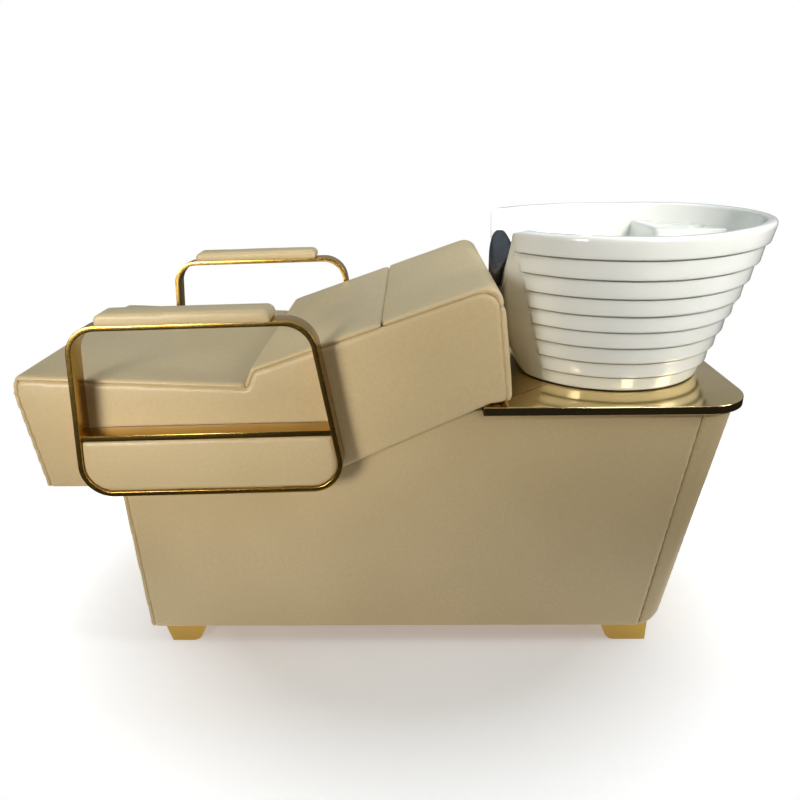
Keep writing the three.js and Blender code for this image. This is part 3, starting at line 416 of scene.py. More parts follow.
def round_edges(piece, width, segments=3, degrees=25):
    bevel = piece.modifiers.new("round", "BEVEL")
    bevel.width = width
    bevel.segments = segments
    bevel.limit_method = "ANGLE"
    bevel.angle_limit = math.radians(degrees)
    bevel.use_clamp_overlap = True
    return apply_modifiers(piece)


SEWN_GROWTH = 0.0013
LOOSE_GROWTH = -0.0018  # a panel that comes off keeps a gap to its neighbours


def remesh(piece, size, tilt=0.0, relax=3, grow=SEWN_GROWTH):
    """Voxel remesh, done with the piece turned by tilt about Y so that its main face lies in a grid plane.

    The soft edges of two pieces that are sewn together grow into each other by a hair, as at a seam."""
    turn = Matrix.Rotation(tilt, 4, "Y")
    piece.data.transform(turn)
    voxels = piece.modifiers.new("voxels", "REMESH")
    voxels.mode = "VOXEL"
    voxels.voxel_size = size
    apply_modifiers(piece)
    if relax:
        soften = piece.modifiers.new("soften", "SMOOTH")
        soften.factor = 0.5
        soften.iterations = relax
        apply_modifiers(piece)
    piece.data.transform(turn.inverted())
    places, normals = vertex_arrays(piece.data)
    piece.data.vertices.foreach_set("co", (places + normals * grow).ravel())
    piece.data.update()
    piece.data.shade_smooth()
    return piece


def vertex_arrays(mesh):
    count = len(mesh.vertices)
    places = np.zeros(count * 3)
    normals = np.zeros(count * 3)
    mesh.vertices.foreach_get("co", places)
    mesh.vertex_normals.foreach_get("vector", normals)
    return places.reshape(-1, 3), normals.reshape(-1, 3)


def distance_from_rim(places, facing, low=0.2, high=0.93):
    """How far each point lies from the nearest rounded edge of the face that looks along facing."""
    rim = np.where((facing > low) & (facing < high))[0]
    tree = KDTree(len(rim))
    for k, i in enumerate(rim):
        tree.insert(places[i], k)
    tree.balance()
    return np.array([tree.find(p)[2] if f > low else 0.0 for p, f in zip(places, facing)])


def puff(piece, direction, amount, reach, pucker=0.0):
    """Pads a face: it swells away from its rounded edges, with small puckers beside the seams."""
    places, normals = vertex_arrays(piece.data)
    direction = np.array(Vector(direction).normalized())
    facing = normals @ direction
    distance = distance_from_rim(places, facing)
    swell = amount * (1 - np.exp(-distance / reach))
    if pucker:
        shifted = Vector((7, 3, 1))
        ripple = np.array([
            noise.noise(Vector(p) * 42) + 0.5 * noise.noise(Vector(p) * 95 + shifted) for p in places])
        swell += pucker * ripple * np.exp(-distance / 0.03) * np.clip(distance / 0.006, 0, 1)
    swell[facing < 0.2] = 0
    places += swell[:, None] * direction
    piece.data.vertices.foreach_set("co", places.ravel())
    piece.data.update()
    return piece


def inflate(piece, free, pressure, cap, frames=20):
    """Cloth pressure on the free points, with the rest pinned, and no point moved further than the cap."""
    group = piece.vertex_groups.new(name="pinned")
    group.add([int(i) for i in np.where(~free)[0]], 1.0, "REPLACE")
    start, _ = vertex_arrays(piece.data)
    cloth = piece.modifiers.new("cloth", "CLOTH")
    settings = cloth.settings
    settings.quality = 5
    settings.mass = 0.3
    settings.tension_stiffness = 12
    settings.compression_stiffness = 12
    settings.shear_stiffness = 8
    settings.bending_stiffness = 1.5
    settings.use_pressure = True
    settings.uniform_pressure_force = pressure
    settings.vertex_group_mass = "pinned"
    settings.effector_weights.gravity = 0
    cloth.collision_settings.use_collision = False
    scene = bpy.context.scene
    for step in range(1, frames + 1):
        scene.frame_set(step)
    graph = bpy.context.evaluated_depsgraph_get()
    evaluated = piece.evaluated_get(graph).data
    moved = np.zeros(len(evaluated.vertices) * 3)
    evaluated.vertices.foreach_get("co", moved)
    moved = moved.reshape(-1, 3)
    shift = moved - start
    length = np.linalg.norm(shift, axis=1)
    shift *= (cap * np.tanh(length / cap) / np.maximum(length, 1e-9))[:, None]
    piece.modifiers.clear()
    piece.vertex_groups.clear()
    piece.data.vertices.foreach_set("co", (start + shift).ravel())
    piece.data.update()
    scene.frame_set(1)
    return piece


def soften(piece, iterations=2, factor=0.5):
    smooth = piece.modifiers.new("soften", "SMOOTH")
    smooth.factor = factor
    smooth.iterations = iterations
    apply_modifiers(piece)
    piece.data.shade_smooth()
    return piece


def rounded_outline(corners, steps=10):
    """Points round a polygon whose corners are (u, v, radius)."""
    outline = []
    count = len(corners)
    for i, (u, v, radius) in enumerate(corners):
        corner = Vector((u, v))
        if radius <= 0:
            outline.append((u, v))
            continue
        before = (Vector(corners[i - 1][:2]) - corner).normalized()
        after = (Vector(corners[(i + 1) % count][:2]) - corner).normalized()
        half = before.angle(after) / 2
        start = corner + before * (radius / math.tan(half))
        centre = corner + (before + after).normalized() * (radius / math.sin(half))
        end = corner + after * (radius / math.tan(half))
        first = math.atan2(start.y - centre.y, start.x - centre.x)
        sweep = math.atan2(end.y - centre.y, end.x - centre.x) - first
        sweep = (sweep + math.pi) % (2 * math.pi) - math.pi
        for k in range(steps + 1):
            angle = first + sweep * k / steps
            outline.append((centre.x + radius * math.cos(angle), centre.y + radius * math.sin(angle)))
    return outline


def inset_outline(points, distance):
    """Moves every edge of a counter-clockwise polygon inwards."""
    lines = []
    for i, (u, v) in enumerate(points):
        along = (Vector(points[(i + 1) % len(points)]) - Vector((u, v))).normalized()
        inward = Vector((-along.y, along.x))
        lines.append((Vector((u, v)) + inward * distance, along))
    corners = []
    for i, (point, along) in enumerate(lines):
        before_point, before_along = lines[i - 1]
        cross = before_along.x * along.y - before_along.y * along.x
        offset = point - before_point
        share = (offset.x * along.y - offset.y * along.x) / cross
        corners.append(tuple(before_point + before_along * share))
    return corners


def ring_strip(rings, close_rings=False, flip=False):
    """Vertices and quads through rings of equal length; each ring is closed on itself."""
    count = len(rings[0])
    vertices = [p for ring in rings for p in ring]
    faces = []
    stacks = len(rings) if close_rings else len(rings) - 1
    for k in range(stacks):
        upper = (k + 1) % len(rings)
        for i in range(count):
            j = (i + 1) % count
            quad = (k * count + i, k * count + j, upper * count + j, upper * count + i)
            faces.append(quad[::-1] if flip else quad)
    return vertices, faces


# ------------------------------------------------------------------ upholstery
TOP_TILTS = {"seat": math.atan2(-0.020, 0.435), "back": math.atan2(0.1597, 0.463)}
PANEL_VOXEL = 0.004
SIDEWAYS = {"left": (0, -1, 0), "right": (0, 1, 0)}


def leather_panel(node, facing, body="unit", swell=0.0025, reach=0.05, edge=0.0025, tilt=0.0, pucker=0.0004,
                  grow=SEWN_GROWTH):
    """One padded leather panel, made from its CAD solid with soft edges and a slightly full face."""
    piece = cad_copy(node, node + "_leather")
    round_edges(piece, edge, 2)
    remesh(piece, PANEL_VOXEL, tilt, relax=3, grow=grow)
    puff(piece, facing, swell, reach, pucker)
    piece.data.materials.clear()
    piece.data.materials.append(LEATHER)
    return belongs(piece, "leather", node, body=body)


def cushion(node, tilt, cap, reach=0.075, pressure=4.0):
    """A crowned cushion: everything but its top is pinned while cloth pressure swells the top."""
    piece = cad_copy(node, node + "_leather")
    remesh(piece, 0.005, tilt, relax=3)
    up = np.array((-math.sin(tilt), 0, math.cos(tilt)))
    puff(piece, up, cap * 0.35, reach * 0.6)
    places, normals = vertex_arrays(piece.data)
    free = (normals @ up > 0.9) & (distance_from_rim(places, normals @ up) > 0.009)
    inflate(piece, free, pressure, cap * 0.65)
    places, normals = vertex_arrays(piece.data)
    facing = normals @ up
    distance = distance_from_rim(places, facing)
    ripple = np.array([noise.noise(Vector(p) * 38) + 0.5 * noise.noise(Vector(p) * 90) for p in places])
    shift = 0.0007 * ripple * np.exp(-distance / 0.035) * np.clip(distance / 0.008, 0, 1)
    shift[facing < 0.5] = 0
    places += shift[:, None] * up
    piece.data.vertices.foreach_set("co", places.ravel())
    piece.data.update()
    soften(piece, 2)
    piece.modifiers.new("fine", "SUBSURF").levels = 1
    piece.modifiers["fine"].render_levels = 1
    apply_modifiers(piece)
    piece.data.shade_smooth()
    piece.data.materials.clear()
    piece.data.materials.append(LEATHER)
    return belongs(piece, "leather", node)


def add_upholstery():
    cushion("seat_cushion", TOP_TILTS["seat"], 0.010)
    cushion("back_cushion_lower", TOP_TILTS["back"], 0.008)
    cushion("back_cushion_upper", TOP_TILTS["back"], 0.008)
    leather_panel("seat_front_cover", (-1, 0, -0.12), swell=0.004)
    leather_panel("back_end_cover", (1, 0, 0.12), swell=0.010, reach=0.045)
    leather_panel("base_front_panel", (-1, 0, 0), swell=0.001, edge=0.002)
    leather_panel("base_rear_cover", (1, 0, -0.18), body="rear_panel", swell=0.004, edge=0.005,
                  grow=LOOSE_GROWTH)
    for side, sideways in SIDEWAYS.items():
        leather_panel("chair_side_cover_" + side, sideways, swell=0.0025)
        leather_panel("base_side_panel_" + side, sideways, swell=0.0015, edge=0.003)
        infill = leather_panel("arm_infill_panel_" + side, sideways, swell=0.003, reach=0.03, edge=0.006)
        pad = leather_panel("arm_pad_" + side, (0, 0, 1), swell=0.003, reach=0.02, edge=0.006)


# ------------------------------------------------------------------ gold arm loops and legs
ARM_TILT = math.radians(1.12)
ARM_CENTRE = Vector((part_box("arm_loop_left")[0].x + 0.2458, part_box("arm_loop_left")[0].z + 0.1706))
ARM_CORNERS = [(-0.254, -0.167), (0.263, -0.167), (0.2155, 0.1705), (-0.2225, 0.1705)]
ARM_RADIUS = 0.060
ARM_BAR = 0.010
ARM_MID_BAR_Z = (-0.0515, -0.0395)
SOFT_METAL_EDGE = 0.0012


def arm_place(u, v):
    x = ARM_CENTRE.x + u * math.cos(ARM_TILT) - v * math.sin(ARM_TILT)
    z = ARM_CENTRE.y + u * math.sin(ARM_TILT) + v * math.cos(ARM_TILT)
    return x, z


def section_points(depth, width, radius, steps=3):
    """A rounded rectangle, as (across, inwards), counter-clockwise."""
    return rounded_outline([
        (0, 0, radius), (depth, 0, radius), (depth, width, radius), (0, width, radius)], steps)


def add_arm_loop(side):
    low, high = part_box("arm_loop_" + side)
    rings = []
    for across, inwards in section_points(high.y - low.y, ARM_BAR, SOFT_METAL_EDGE):
        corners = inset_outline(ARM_CORNERS, inwards)
        outline = rounded_outline([(u, v, ARM_RADIUS - inwards) for u, v in corners], 28)
        rings.append([(arm_place(u, v)[0], low.y + across, arm_place(u, v)[1]) for u, v in outline])
    vertices, faces = ring_strip(rings, close_rings=True)
    loop = outward(new_object("arm_loop_%s_gold" % side, vertices, faces, [GOLD]))
    shade_by_angle(loop, 40)
    belongs(loop, "gold_steel", "arm_loop_" + side)


def slab(name, outline, y_low, y_high, edge, material, steps=3):
    """A plate with an (x, z) outline and rounded edges, between two distances across."""
    rings = []
    for k in range(steps + 1):
        angle = math.pi / 2 * k / steps
        inset = edge * (1 - math.sin(angle))
        rings.append([(x, y_low + edge * (1 - math.cos(angle)), z) for x, z in inset_outline(outline, inset)])
    for k in range(steps, -1, -1):
        angle = math.pi / 2 * k / steps
        inset = edge * (1 - math.sin(angle))
        y = y_high - edge * (1 - math.cos(angle))
        rings.append([(x, y, z) for x, z in inset_outline(outline, inset)])
    vertices, faces = ring_strip(rings)
    count = len(outline)
    faces.append(tuple(range(count)))
    faces.append(tuple(range(len(vertices) - 1, len(vertices) - count - 1, -1)))
    return shade_by_angle(outward(new_object(name, vertices, faces, [material])), 40)


def add_mid_bar(side):
    node = "arm_mid_bar_" + side
    low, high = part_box(node)
    bottom, top = ARM_MID_BAR_Z

    def loop_inside(v, end):
        corners = inset_outline(ARM_CORNERS, ARM_BAR)
        first, second = (corners[0], corners[3]) if end == "front" else (corners[1], corners[2])
        share = (v - first[1]) / (second[1] - first[1])
        return first[0] + (second[0] - first[0]) * share

    outline = [
        arm_place(loop_inside(bottom, "front"), bottom), arm_place(loop_inside(bottom, "rear"), bottom),
        arm_place(loop_inside(top, "rear"), top), arm_place(loop_inside(top, "front"), top)]
    bar = slab(node + "_gold", outline, low.y, high.y, SOFT_METAL_EDGE, GOLD)
    belongs(bar, "gold_steel", node)


LEG_TOE_RADIUS = 0.024
LEG_LEANS = {"front": (0.015, 0.026), "rear": (0.023, 0.0)}


def add_leg(end, side):
    node = "leg_%s_%s" % (end, side)
    low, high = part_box(node)
    front_lean, rear_lean = LEG_LEANS[end]
    front_radius, rear_radius = (0, LEG_TOE_RADIUS) if end == "front" else (LEG_TOE_RADIUS, 0)
    corners = [
        (low.x + front_lean, low.z, front_radius), (high.x - rear_lean, low.z, rear_radius),
        (high.x, high.z, 0), (low.x, high.z, 0)]
    leg = slab(node + "_gold", rounded_outline(corners, 16), low.y, high.y, 0.0012, GOLD)
    belongs(leg, "gold_steel", node)


# ------------------------------------------------------------------ gold deck
DRAIN = Vector(((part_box("waste_flange")[0].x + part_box("waste_flange")[1].x) / 2, 0.0))
DECK_CORNER = 0.096
DECK_SHEET = 0.002
DECK_HOLE = 0.050


def add_deck():
    low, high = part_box("deck_plate")
    fold = 0.0022
    outer = rounded_outline([
        (low.x, low.y, 0.001), (high.x, low.y, DECK_CORNER),
        (high.x, high.y, DECK_CORNER), (low.x, high.y, 0.001)], 40)
    hub = Vector((DRAIN.x, DRAIN.y))
    hole = [hub + (Vector(p) - hub).normalized() * DECK_HOLE for p in outer]

    def ring(inset, z):
        return [(x, y, z) for x, y in inset_outline(outer, inset)]

    rings = [ring(DECK_SHEET, low.z), ring(0.0003, low.z), ring(0, low.z + 0.0004)]
    for k in range(6):
        angle = math.pi / 2 * k / 5
        rings.append(ring(fold * (1 - math.cos(angle)), high.z - fold * (1 - math.sin(angle))))
    rings.append([(p.x, p.y, high.z) for p in hole])
    rings.append([(p.x, p.y, high.z - DECK_SHEET) for p in hole])
    rings.append(ring(DECK_SHEET, high.z - DECK_SHEET))
    vertices, faces = ring_strip(rings, close_rings=True)
    deck = outward(new_object("deck_plate_gold", vertices, faces, [MIRROR_GOLD]))
    shade_by_angle(deck, 30)
    belongs(deck, "gold_steel", "deck_plate")


# ------------------------------------------------------------------ ceramic basin
BASIN_LOW, BASIN_RIM = 0.5813, 0.894
REAR_RISE = 0.008
FOOT_RADIUS, RIM_RADIUS = 0.213, 0.304
FOOT_REAR, RIM_REAR = -0.012, 0.010
BASIN_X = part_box("basin")[1].x - RIM_RADIUS - RIM_REAR
BAND_EDGES = [0.5813, 0.612, 0.644, 0.677, 0.711, 0.744, 0.779, 0.815, 0.853]
BAND_OUT, BAND_IN = 0.0044, -0.0018
BAND_START_LOW, BAND_START_LEAN = math.radians(44.2), math.radians(-21.2)
RIM_WIDTH, FRONT_WALL, SKIN = 0.024, 0.029, 0.013
BOWL_FLOOR = 0.662
FRONT_REACH = [
    (0.581, 0.190), (0.623, 0.213), (0.670, 0.227), (0.711, 0.233),
    (0.805, 0.241), (0.894, 0.245), (0.950, 0.249)]
BOWL_DEPTHS = [0, 0.15, 0.35, 0.55, 0.75, 0.9, 1]
BOWL_ROUND = [1, 0.965, 0.92, 0.85, 0.73, 0.52, 0.2]
BOWL_FRONT = [1, 1, 0.995, 0.98, 0.93, 0.72, 0.28]
NOTCH_BOTTOM, NOTCH_CURVE = 0.770, 3.2
HORN_Y, HORN_RISE, HORN_POWER = 0.188, 0.019, 10
BASIN_STEPS = 400
THETA = np.linspace(0, 2 * math.pi, BASIN_STEPS, endpoint=False)
COS_THETA, SIN_THETA = np.cos(THETA), np.sin(THETA)
FROM_FRONT = np.minimum(THETA, 2 * math.pi - THETA)


def smoothstep(value, low, high):
    t = np.clip((value - low) / (high - low), 0, 1)
    return t * t * (3 - 2 * t)


def smooth_curve(xs, ys):
    """A curve through a few points with no overshoot (monotone cubic)."""
    xs, ys = np.array(xs, float), np.array(ys, float)
    steps = np.diff(ys) / np.diff(xs)
    slopes = np.concatenate([[steps[0]], np.zeros(len(xs) - 2), [steps[-1]]])
    for i in range(1, len(xs) - 1):
        if steps[i - 1] * steps[i] > 0:
            slopes[i] = 2 * steps[i - 1] * steps[i] / (steps[i - 1] + steps[i])

    def curve(x):
        x = np.clip(x, xs[0], xs[-1])
        i = np.clip(np.searchsorted(xs, x, side="right") - 1, 0, len(xs) - 2)
        width = xs[i + 1] - xs[i]
        t = (x - xs[i]) / width
        return ((2 * t**3 - 3 * t**2 + 1) * ys[i] + (t**3 - 2 * t**2 + t) * width * slopes[i]
                + (3 * t**2 - 2 * t**3) * ys[i + 1] + (t**3 - t**2) * width * slopes[i + 1])
    return curve


front_reach = smooth_curve(*zip(*FRONT_REACH))
bowl_round = smooth_curve(BOWL_DEPTHS, BOWL_ROUND)
bowl_front = smooth_curve(BOWL_DEPTHS, BOWL_FRONT)


def height_share(z):
    return (z - BASIN_LOW) / (BASIN_RIM - BASIN_LOW)


def rim_z(x):
    return BASIN_RIM + REAR_RISE * smoothstep(x, BASIN_X, BASIN_X + RIM_RADIUS)


def wall_radius(side, rear, reach, softness=0.007):
    """Distance from the upright axis to an oval that is cut off by a flat front, for every angle."""
    long = np.where(COS_THETA < 0, side + rear, side)
    oval = 1 / np.hypot(COS_THETA / long, SIN_THETA / side)
    cut = reach / np.maximum(COS_THETA, 0.15)
    blended = -softness * np.log(np.exp(-oval / softness) + np.exp(-cut / softness))
    return np.where(COS_THETA < 0.15, oval, blended)


def band_start(z):
    """The angle from the front at which the bands begin, on a line that leans forwards as it rises."""
    return BAND_START_LOW + BAND_START_LEAN * (z - BAND_EDGES[1])


def outer_xy(z, step=0.0, inset=0.0, front_step=0.0):
    """Plan position of the outer wall at height z, which may be a number or one height per angle."""
    share = height_share(z)
    side = FOOT_RADIUS + (RIM_RADIUS - FOOT_RADIUS) * share - inset
    rear = FOOT_REAR + (RIM_REAR - FOOT_REAR) * share
    radius = wall_radius(side, rear, front_reach(z) - inset)
    start = band_start(z)
    on_bands = smoothstep(FROM_FRONT, start - 0.010, start + 0.010)
    radius = radius + step * on_bands + front_step * (1 - on_bands)
    return BASIN_X - radius * COS_THETA, -radius * SIN_THETA


def bowl_xy(z, grow=0.0):
    top = BASIN_RIM
    depth = np.clip((top - z) / (top - (BOWL_FLOOR - grow)), 0, 1)
    centre = BASIN_X + (DRAIN.x - BASIN_X) * depth
    round_share, front_share = bowl_round(depth), bowl_front(depth)
    side = (RIM_RADIUS - RIM_WIDTH) * round_share + grow
    reach = (front_reach(BASIN_RIM) - FRONT_WALL) * front_share + centre - BASIN_X + grow
    radius = wall_radius(side, RIM_REAR * round_share, reach, 0.009)
    return centre - radius * COS_THETA, -radius * SIN_THETA


def notch_z(y):
    """Edge of the neck notch, which turns up steeply to the horns at its two ends."""
    return NOTCH_BOTTOM + NOTCH_CURVE * y * y + HORN_RISE * (y / HORN_Y) ** HORN_POWER


def rim_height(x, y):
    """Height of the rim: level at the sides, a little higher behind, and dipping in the neck notch."""
    rim = rim_z(x)
    notch = np.minimum(notch_z(y), BASIN_RIM + 0.1)
    soft = 0.0022
    weights = np.exp(-(rim - BASIN_LOW) / soft) + np.exp(-(notch - BASIN_LOW) / soft)
    dipped = -soft * np.log(weights) + BASIN_LOW
    fade = smoothstep(x, BASIN_X - 0.12, BASIN_X - 0.08)
    return dipped * (1 - fade) + rim * fade


def settle_height(place):
    """The height at which a wall meets the rim line, angle by angle."""
    height = np.full(BASIN_STEPS, BASIN_RIM)
    for _ in range(12):
        height = rim_height(*place(height))
    return height


OUTER_TOP = settle_height(outer_xy)
INNER_TOP = settle_height(bowl_xy)
GROOVE_DEPTH = 0.0030
GROOVE_WIDTH = 0.0034
FULL_HEIGHT = smoothstep(OUTER_TOP, 0.862, 0.888)


def squeezed(z, top):
    """Heights between the foot band and the rim, squeezed where the notch lowers the rim."""
    base = BAND_EDGES[1]
    share = np.clip((z - base) / (BASIN_RIM - base), 0, None)
    return np.where(z > base, base + share * (top - base), z)


def outer_rings():
    """Rings up the outside with the band steps; also tells which of them lie in a groove and so get the
    painted shade under each band.
    """
    rings, grooves = [], []

    def add(z, step, front_step=0.0, groove=False):
        height = squeezed(np.full(BASIN_STEPS, z), OUTER_TOP)
        x, y = outer_xy(height, step, 0, front_step * np.where(height > 0.8, FULL_HEIGHT, 1))
        rings.append(np.stack([x, y, height], axis=1))
        grooves.append(groove)

    add(BASIN_LOW, -0.003, front_step=-0.003)
    add(BASIN_LOW + 0.0012, -0.0008, front_step=-0.0008)
    add(BASIN_LOW + 0.004, 0)
    for k in range(1, 6):
        add(BASIN_LOW + 0.004 + (BAND_EDGES[1] - GROOVE_WIDTH - BASIN_LOW - 0.006) * k / 6, BAND_IN * k / 6)
    for i, low in enumerate(BAND_EDGES[1:], 1):
        is_rim = i == len(BAND_EDGES) - 1
        high = BASIN_RIM if is_rim else BAND_EDGES[i + 1]
        front = BAND_OUT * 0.45 if is_rim else 0.0
        add(low - GROOVE_WIDTH, BAND_IN)
        # Rings flagged groove=True get the darker glaze, painted shade for the shadow under the band above;
        # the flagged ring at the band's lower edge carries it just under the overhang.
        add(low - GROOVE_WIDTH * 0.8, BAND_IN - GROOVE_DEPTH * 0.6, groove=True)
        add(low - GROOVE_WIDTH * 0.5, BAND_IN - GROOVE_DEPTH, groove=True)
        add(low - 0.0003, BAND_IN - GROOVE_DEPTH, groove=True)
        add(low + 0.0001, BAND_OUT * 0.55, front * 0.3, groove=True)
        add(low + 0.0008, BAND_OUT * 0.88, front * 0.8)
        add(low + 0.0024, BAND_OUT, front)
        last = 0.0 if is_rim else BAND_IN
        top = high - (0.010 if is_rim else GROOVE_WIDTH + 0.001)
        for k in range(1, 7):
            share = k / 6
            add(low + 0.0024 + (top - low - 0.0024) * share, BAND_OUT + (last - BAND_OUT) * share,
                front * (1 - share))
    return rings, grooves


def lip_rings(outside, steps=18, power=3.0, rise=0.009):
    """Rings over the rim, from the last outer ring to the wall of the bowl."""
    inner_start = INNER_TOP - rise
    ix, iy = bowl_xy(inner_start)
    inside = np.stack([ix, iy, inner_start], axis=1)
    start_z = np.minimum(outside[:, 2], OUTER_TOP - rise * 0.5)
    rings = []
    for k in range(steps + 1):
        angle = math.pi * k / steps
        c, s = math.cos(angle), math.sin(angle)
        across = 0.5 - 0.5 * math.copysign(abs(c) ** (2 / power), c)
        bulge = abs(s) ** (2 / power)
        flat = outside[:, :2] * (1 - across) + inside[:, :2] * across
        base = start_z * (1 - across) + inside[:, 2] * across
        top = OUTER_TOP * (1 - across) + INNER_TOP * across
        rings.append(np.column_stack([flat, base + (top - base) * bulge]))
    return rings


def bowl_rings(steps=46):
    rings = []
    start = INNER_TOP - 0.009
    for k in range(1, steps + 1):
        share = (k / steps) ** 0.92
        z = start + (BOWL_FLOOR - start) * math.sin(share * math.pi / 2)
        x, y = bowl_xy(z)
        rings.append(np.stack([x, y, z], axis=1))
    return rings


def drain_rings(radius_z):
    rings = []
    for radius, z in radius_z:
        rings.append(np.stack([
            DRAIN.x - radius * COS_THETA, -radius * SIN_THETA, np.full(BASIN_STEPS, z)], axis=1))
    return rings


def underside_rings():
    rings = []
    for z in np.linspace(BOWL_FLOOR - SKIN + 0.002, 0.730, 10):
        x, y = bowl_xy(np.full(BASIN_STEPS, z), SKIN)
        rings.append(np.stack([x, y, np.full(BASIN_STEPS, z)], axis=1))
    for z in np.linspace(0.730, BASIN_LOW + 0.0005, 8):
        x, y = outer_xy(np.full(BASIN_STEPS, z), 0, SKIN)
        rings.append(np.stack([x, y, np.full(BASIN_STEPS, z)], axis=1))
    return rings


LEDGE_X, LEDGE_Y, LEDGE_Z = BASIN_X + 0.115, 0.062, 0.858
LEDGE_BURIED = 0.018
TAP_HOLE = Vector((BASIN_X + 0.221, 0.110))
TAP_RADIUS, TAP_FLOOR = 0.0175, 0.800


def ledge_outline(z, corner=0.020, steps=12):
    """The ledge's plan at one height: two straight faces, then an arc inside the wall of the basin."""
    share = height_share(z)
    side = FOOT_RADIUS + (RIM_RADIUS - FOOT_RADIUS) * share - LEDGE_BURIED
    rear = side + FOOT_REAR + (RIM_REAR - FOOT_REAR) * share
    first = math.asin(LEDGE_Y / side)
    last = math.acos((LEDGE_X - BASIN_X) / rear)
    corners = [(LEDGE_X, LEDGE_Y, corner)]
    for k in range(steps + 1):
        angle = first + (last - first) * k / steps
        corners.append((BASIN_X + rear * math.cos(angle), side * math.sin(angle), 0))
    return rounded_outline(corners, 12)


def ledge_block():
    """The raised tap ledge, a round-edged block that reaches into the wall of the bowl."""
    lip = 0.008
    steps = 6
    rings = []
    for z in np.linspace(BOWL_FLOOR + 0.006, LEDGE_Z - lip - 0.002, 8):
        flare = 0.012 * (1 - (z - BOWL_FLOOR) / (LEDGE_Z - BOWL_FLOOR))
        rings.append([(x, y, z) for x, y in inset_outline(ledge_outline(z), -flare)])
    for k in range(steps + 1):
        angle = math.pi / 2 * k / steps
        height = LEDGE_Z - lip * (1 - math.sin(angle))
        inset = lip * (1 - math.cos(angle))
        rings.append([(x, y, height) for x, y in inset_outline(ledge_outline(height), inset)])
    vertices, faces = ring_strip(rings)
    count = len(rings[0])
    faces.append(tuple(range(count)))
    faces.append(tuple(range(len(vertices) - 1, len(vertices) - count - 1, -1)))
    return outward(new_object("ledge_tool", vertices, faces, [GLAZE]))


def turned(name, profile, centre, material, segments=96):
    """A solid of revolution about a vertical axis from a closed (radius, z) profile."""
    rings = []
    for k in range(segments):
        angle = 2 * math.pi * k / segments
        c, s = math.cos(angle), math.sin(angle)
        rings.append([(centre.x + r * c, centre.y + r * s, z) for r, z in profile])
    vertices, faces = ring_strip(rings, close_rings=True)
    piece = outward(new_object(name, vertices, faces, [material]))
    work = bmesh.new()
    work.from_mesh(piece.data)
    bmesh.ops.remove_doubles(work, verts=work.verts, dist=1e-6)
    loose = [edge for edge in work.edges if not edge.link_faces]
    bmesh.ops.delete(work, geom=loose, context="EDGES")
    work.to_mesh(piece.data)
    work.free()
    return shade_by_angle(piece, 35)


def cut(piece, tool, operation="DIFFERENCE"):
    boolean = piece.modifiers.new("cut", "BOOLEAN")
    boolean.operation = operation
    boolean.solver = "MANIFOLD"
    boolean.object = tool
    apply_modifiers(piece)
    bpy.data.objects.remove(tool)
    return piece


def add_basin():
    outside, grooves = outer_rings()
    lips = lip_rings(outside[-1])
    bowl = bowl_rings()
    drain_low = BOWL_FLOOR - SKIN - 0.002
    drain = drain_rings([
        (0.050, BOWL_FLOOR - 0.0008), (0.040, BOWL_FLOOR - 0.001), (0.026, BOWL_FLOOR - 0.0015),
        (0.024, BOWL_FLOOR - 0.004), (0.024, drain_low), (0.044, drain_low)])
    rings = outside + lips[1:] + bowl + drain + underside_rings()
    vertices, faces = ring_strip([ring.tolist() for ring in rings], close_rings=True)
    basin = outward(new_object("basin_ceramic", vertices, faces, [GLAZE, GLAZE_GROOVE_SHADE]))
    # Faces between flagged rings on the bands take the darker glaze: painted shade in the grooves.
    painted_shade_rings = {k for k, inside in enumerate(grooves) if inside}
    for face in basin.data.polygons:
        indices = [v // BASIN_STEPS for v in face.vertices]
        corner = min(v % BASIN_STEPS for v in face.vertices)
        if min(indices) in painted_shade_rings and max(indices) in painted_shade_rings:
            face.material_index = int(FROM_FRONT[corner] > band_start(vertices[face.vertices[0]][2]))
    cut(basin, ledge_block(), "UNION")
    tap_top = LEDGE_Z + 0.01
    tap_profile = [(0, TAP_FLOOR), (TAP_RADIUS, TAP_FLOOR), (TAP_RADIUS, tap_top), (0, tap_top)]
    cut(basin, turned("tap_tool", tap_profile, TAP_HOLE, GLAZE, 64))
    shade_by_angle(basin, 38)
    belongs(basin, "ceramic", "basin")


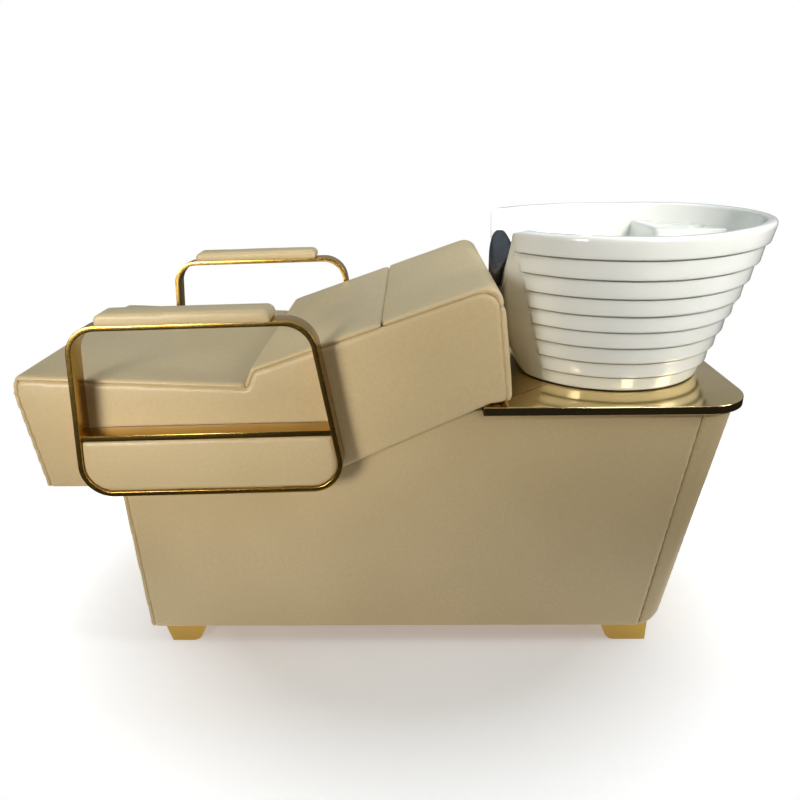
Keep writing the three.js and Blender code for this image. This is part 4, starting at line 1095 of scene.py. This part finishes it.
# ------------------------------------------------------------------ neck rest
def add_neck_rest():
    low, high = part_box("neck_rest")
    drop, thickness = 0.024, 0.020
    half, middle, half_width = high.y, (low.x + high.x) / 2, (high.x - low.x) / 2
    steps = 90
    rings = []
    for k in range(steps + 1):
        angle = math.pi * k / steps
        y = -half * math.cos(angle)
        full = max(1 - abs(y / half) ** 3.2, 0) ** 0.5
        crown = 0.002 + (thickness - 0.002) * full
        grip = smoothstep(full, 0.82, 0.97)
        lower = 0.0004 - drop * grip
        corner = 0.0003 + 0.0027 * grip
        reach = half_width * (0.12 + 0.88 * full)
        flap = 0.0016 + 0.0064 * full
        front, rear = middle - reach, middle + reach
        outline = rounded_outline([
            (front, lower, corner), (front + flap, lower, corner), (front + flap, 0.0012, corner / 2),
            (rear - flap, 0.0012, corner / 2), (rear - flap, lower, corner), (rear, lower, corner),
            (rear, crown, min(0.015, crown * 0.8)), (front, crown, min(0.015, crown * 0.8))], 8)
        rise = notch_z(y) + 0.0012 * (1 - grip)
        rings.append([(x, y, rise + z) for x, z in outline])
    vertices, faces = ring_strip(rings)
    count = len(rings[0])
    faces.append(tuple(range(count)))
    faces.append(tuple(range(len(vertices) - 1, len(vertices) - count - 1, -1)))
    rest = shade_by_angle(outward(new_object("neck_rest_gel", vertices, faces, [GEL])), 50)
    belongs(rest, "gel_rubber", "neck_rest", body="neck_rest")


# ------------------------------------------------------------------ waste fittings
def add_waste():
    low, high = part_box("waste_flange")
    top = high.z
    flange = turned("waste_flange_chrome", [
        (0.018, low.z), (0.022, low.z), (0.022, top - 0.0026), (0.0397, top - 0.0024), (0.0400, top - 0.0016),
        (0.0385, top - 0.0004), (0.0360, top), (0.0300, top - 0.0002), (0.0190, top - 0.0010),
        (0.018, top - 0.0020)],
        DRAIN, CHROME)
    belongs(flange, "chrome", "waste_flange")


# ------------------------------------------------------------------ pieces that stay as the CAD made them
def add_finish_to_cad():
    slots = {row["node"]: row["material_slot"] for row in frame["record"]["subparts"]}
    for node, piece in frame["nodes"].items():
        if piece.hide_render:
            continue
        piece.data.materials.clear()
        piece.data.materials.append(SLOT_LOOKS[slots[node]])
        bevel = piece.modifiers.new("soft_edge", "BEVEL")
        bevel.width = 0.0006
        bevel.segments = 2
        bevel.limit_method = "ANGLE"
        bevel.angle_limit = math.radians(40)


add_camera()
add_studio()
add_upholstery()
for side in SIDES:
    add_arm_loop(side)
    add_mid_bar(side)
    for end in LEG_LEANS:
        add_leg(end, side)
add_deck()
add_basin()
add_neck_rest()
add_waste()
add_finish_to_cad()

add_floor()
bpy.context.scene.view_settings.view_transform = "Standard"
